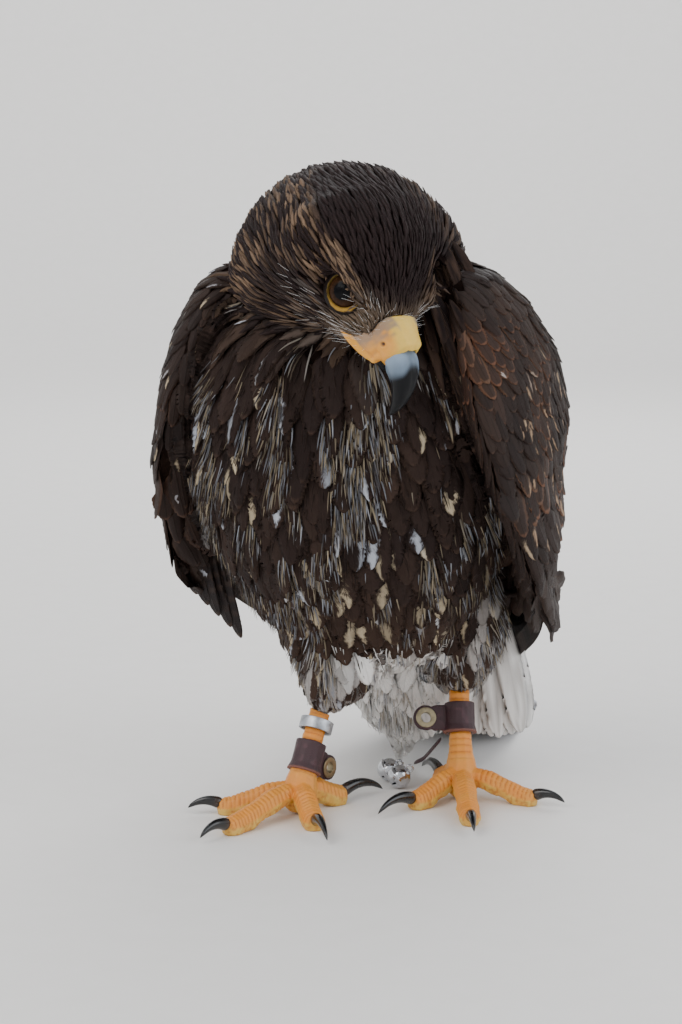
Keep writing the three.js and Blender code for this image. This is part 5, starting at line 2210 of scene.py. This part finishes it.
def make_stage():
    """The camera, the pale floor and the lights."""
    stage = bpy.context.scene.hawk_stage
    lens = bpy.data.cameras.new("camera")
    lens.sensor_width = 36
    lens.lens = stage.lens
    camera = linked("camera", lens)
    camera.location = CAMERA_PLACE
    camera.rotation_euler = (math.pi / 2 - CAMERA_PITCH, 0, 0)
    bpy.context.scene.camera = camera

    material, tree, _ = new_material("floor")
    grain = noisy(tree, places(tree), 60.0, 5.0)
    tone = blended(tree, grain, from_srgb(240, 238, 235), from_srgb(246, 244, 242))
    finish(material, Base_Color=tone, Roughness=0.8)
    rise, around = np.linspace(0, 2.2, 23), 96
    points = turned_points(2.2 + rise, 0.62 * rise**2, around)
    bowl = tube_faces(len(rise), around)[:-around, ::-1]
    mesh = mesh_of("floor", points, [np.arange(around)[None], bowl])
    mesh.materials.append(material)
    linked("floor", mesh)

    world = bpy.data.worlds.new("sky")
    world.use_nodes = True
    backdrop = world.node_tree.nodes["Background"]
    backdrop.inputs["Color"].default_value = (0.9, 0.92, 0.95, 1)
    backdrop.inputs["Strength"].default_value = stage.sky
    bpy.context.scene.world = world
    middle = (0, 0, 0.16)
    add_light("key", (-1.0, -1.0, 1.5), middle, 1.4, stage.key_power, (1, 0.98, 0.95))
    add_light("fill", (1.3, -0.7, 0.8), middle, 1.2, stage.fill_power, (0.92, 0.96, 1))
    add_light("rim", (0.3, 1.3, 1.2), middle, 1.0, stage.fill_power, (1, 1, 1))
    add_light("back", (0, 2.0, 2.2), (0, 3.6, 0.2), 1.6, stage.back_power, (1, 1, 1))


class HAWK_OT_stage(bpy.types.Operator):
    """Make the camera, the floor and the lights."""

    bl_idname = "hawk.stage"
    bl_label = "Stage"

    def execute(self, context):
        make_stage()
        return {"FINISHED"}


class HAWK_OT_skin(bpy.types.Operator):
    """Make the skin that the feathers grow from."""

    bl_idname = "hawk.skin"
    bl_label = "Skin"

    def execute(self, context):
        make_skin()
        return {"FINISHED"}


class HAWK_OT_coat(bpy.types.Operator):
    """Make the small feathers of the head, body, thighs and wings."""

    bl_idname = "hawk.coat"
    bl_label = "Coat"

    def execute(self, context):
        if "skin" not in made:
            raise RuntimeError("the skin comes before the coat")
        make_feather_materials()
        make_coat()
        return {"FINISHED"}


class HAWK_OT_quills(bpy.types.Operator):
    """Make the long feathers of the wings and the tail."""

    bl_idname = "hawk.quills"
    bl_label = "Long feathers"

    def execute(self, context):
        if "feathers" not in made:
            raise RuntimeError("the coat comes before the long feathers")
        make_flight_feathers()
        make_tail()
        make_hanging_feathers()
        return {"FINISHED"}


class HAWK_OT_face(bpy.types.Operator):
    """Make the eyes, the lids, the bill and the cere."""

    bl_idname = "hawk.face"
    bl_label = "Face"

    def execute(self, context):
        make_eyes()
        make_lids()
        make_bill()
        return {"FINISHED"}


class HAWK_OT_bristles(bpy.types.Operator):
    """Make the bristles of the face."""

    bl_idname = "hawk.bristles"
    bl_label = "Bristles"

    def execute(self, context):
        if "skin" not in made:
            raise RuntimeError("the skin comes before the bristles")
        make_bristles()
        return {"FINISHED"}


class HAWK_OT_feet(bpy.types.Operator):
    """Make the legs, the toes and the claws."""

    bl_idname = "hawk.feet"
    bl_label = "Feet"

    def execute(self, context):
        make_feet()
        make_claws()
        return {"FINISHED"}


class HAWK_OT_furniture(bpy.types.Operator):
    """Make the anklets, the eyelets, the ring and the bells."""

    bl_idname = "hawk.furniture"
    bl_label = "Anklets, ring and bells"

    def execute(self, context):
        make_anklets()
        make_ring()
        make_bells()
        return {"FINISHED"}


class HAWK_PT_panel(bpy.types.Panel):
    """Lists the pieces of the hawk."""

    bl_label = "Harris hawk"
    bl_idname = "HAWK_PT_panel"
    bl_space_type = "VIEW_3D"
    bl_region_type = "UI"
    bl_category = "Hawk"

    def draw(self, context):
        for operator in OPERATORS:
            self.layout.operator(operator.bl_idname)


OPERATORS = (
    HAWK_OT_stage,
    HAWK_OT_skin,
    HAWK_OT_coat,
    HAWK_OT_quills,
    HAWK_OT_face,
    HAWK_OT_bristles,
    HAWK_OT_feet,
    HAWK_OT_furniture,
)
SETTINGS = {"hawk_sizes": HawkSizes, "hawk_colours": HawkColours, "hawk_stage": HawkStage}


def register():
    """Adds the settings, the operators and the panel."""
    for name, group in SETTINGS.items():
        bpy.utils.register_class(group)
        setattr(bpy.types.Scene, name, PointerProperty(type=group))
    for item in (*OPERATORS, HAWK_PT_panel):
        bpy.utils.register_class(item)


def unregister():
    """Takes the panel, the operators and the settings away again."""
    for item in (HAWK_PT_panel, *reversed(OPERATORS)):
        bpy.utils.unregister_class(item)
    for name, group in SETTINGS.items():
        delattr(bpy.types.Scene, name)
        bpy.utils.unregister_class(group)


def main():
    """Builds every piece in order."""
    register()
    for operator in OPERATORS:
        family, name = operator.bl_idname.split(".")
        getattr(getattr(bpy.ops, family), name)()


if __name__ == "__main__":
    main()
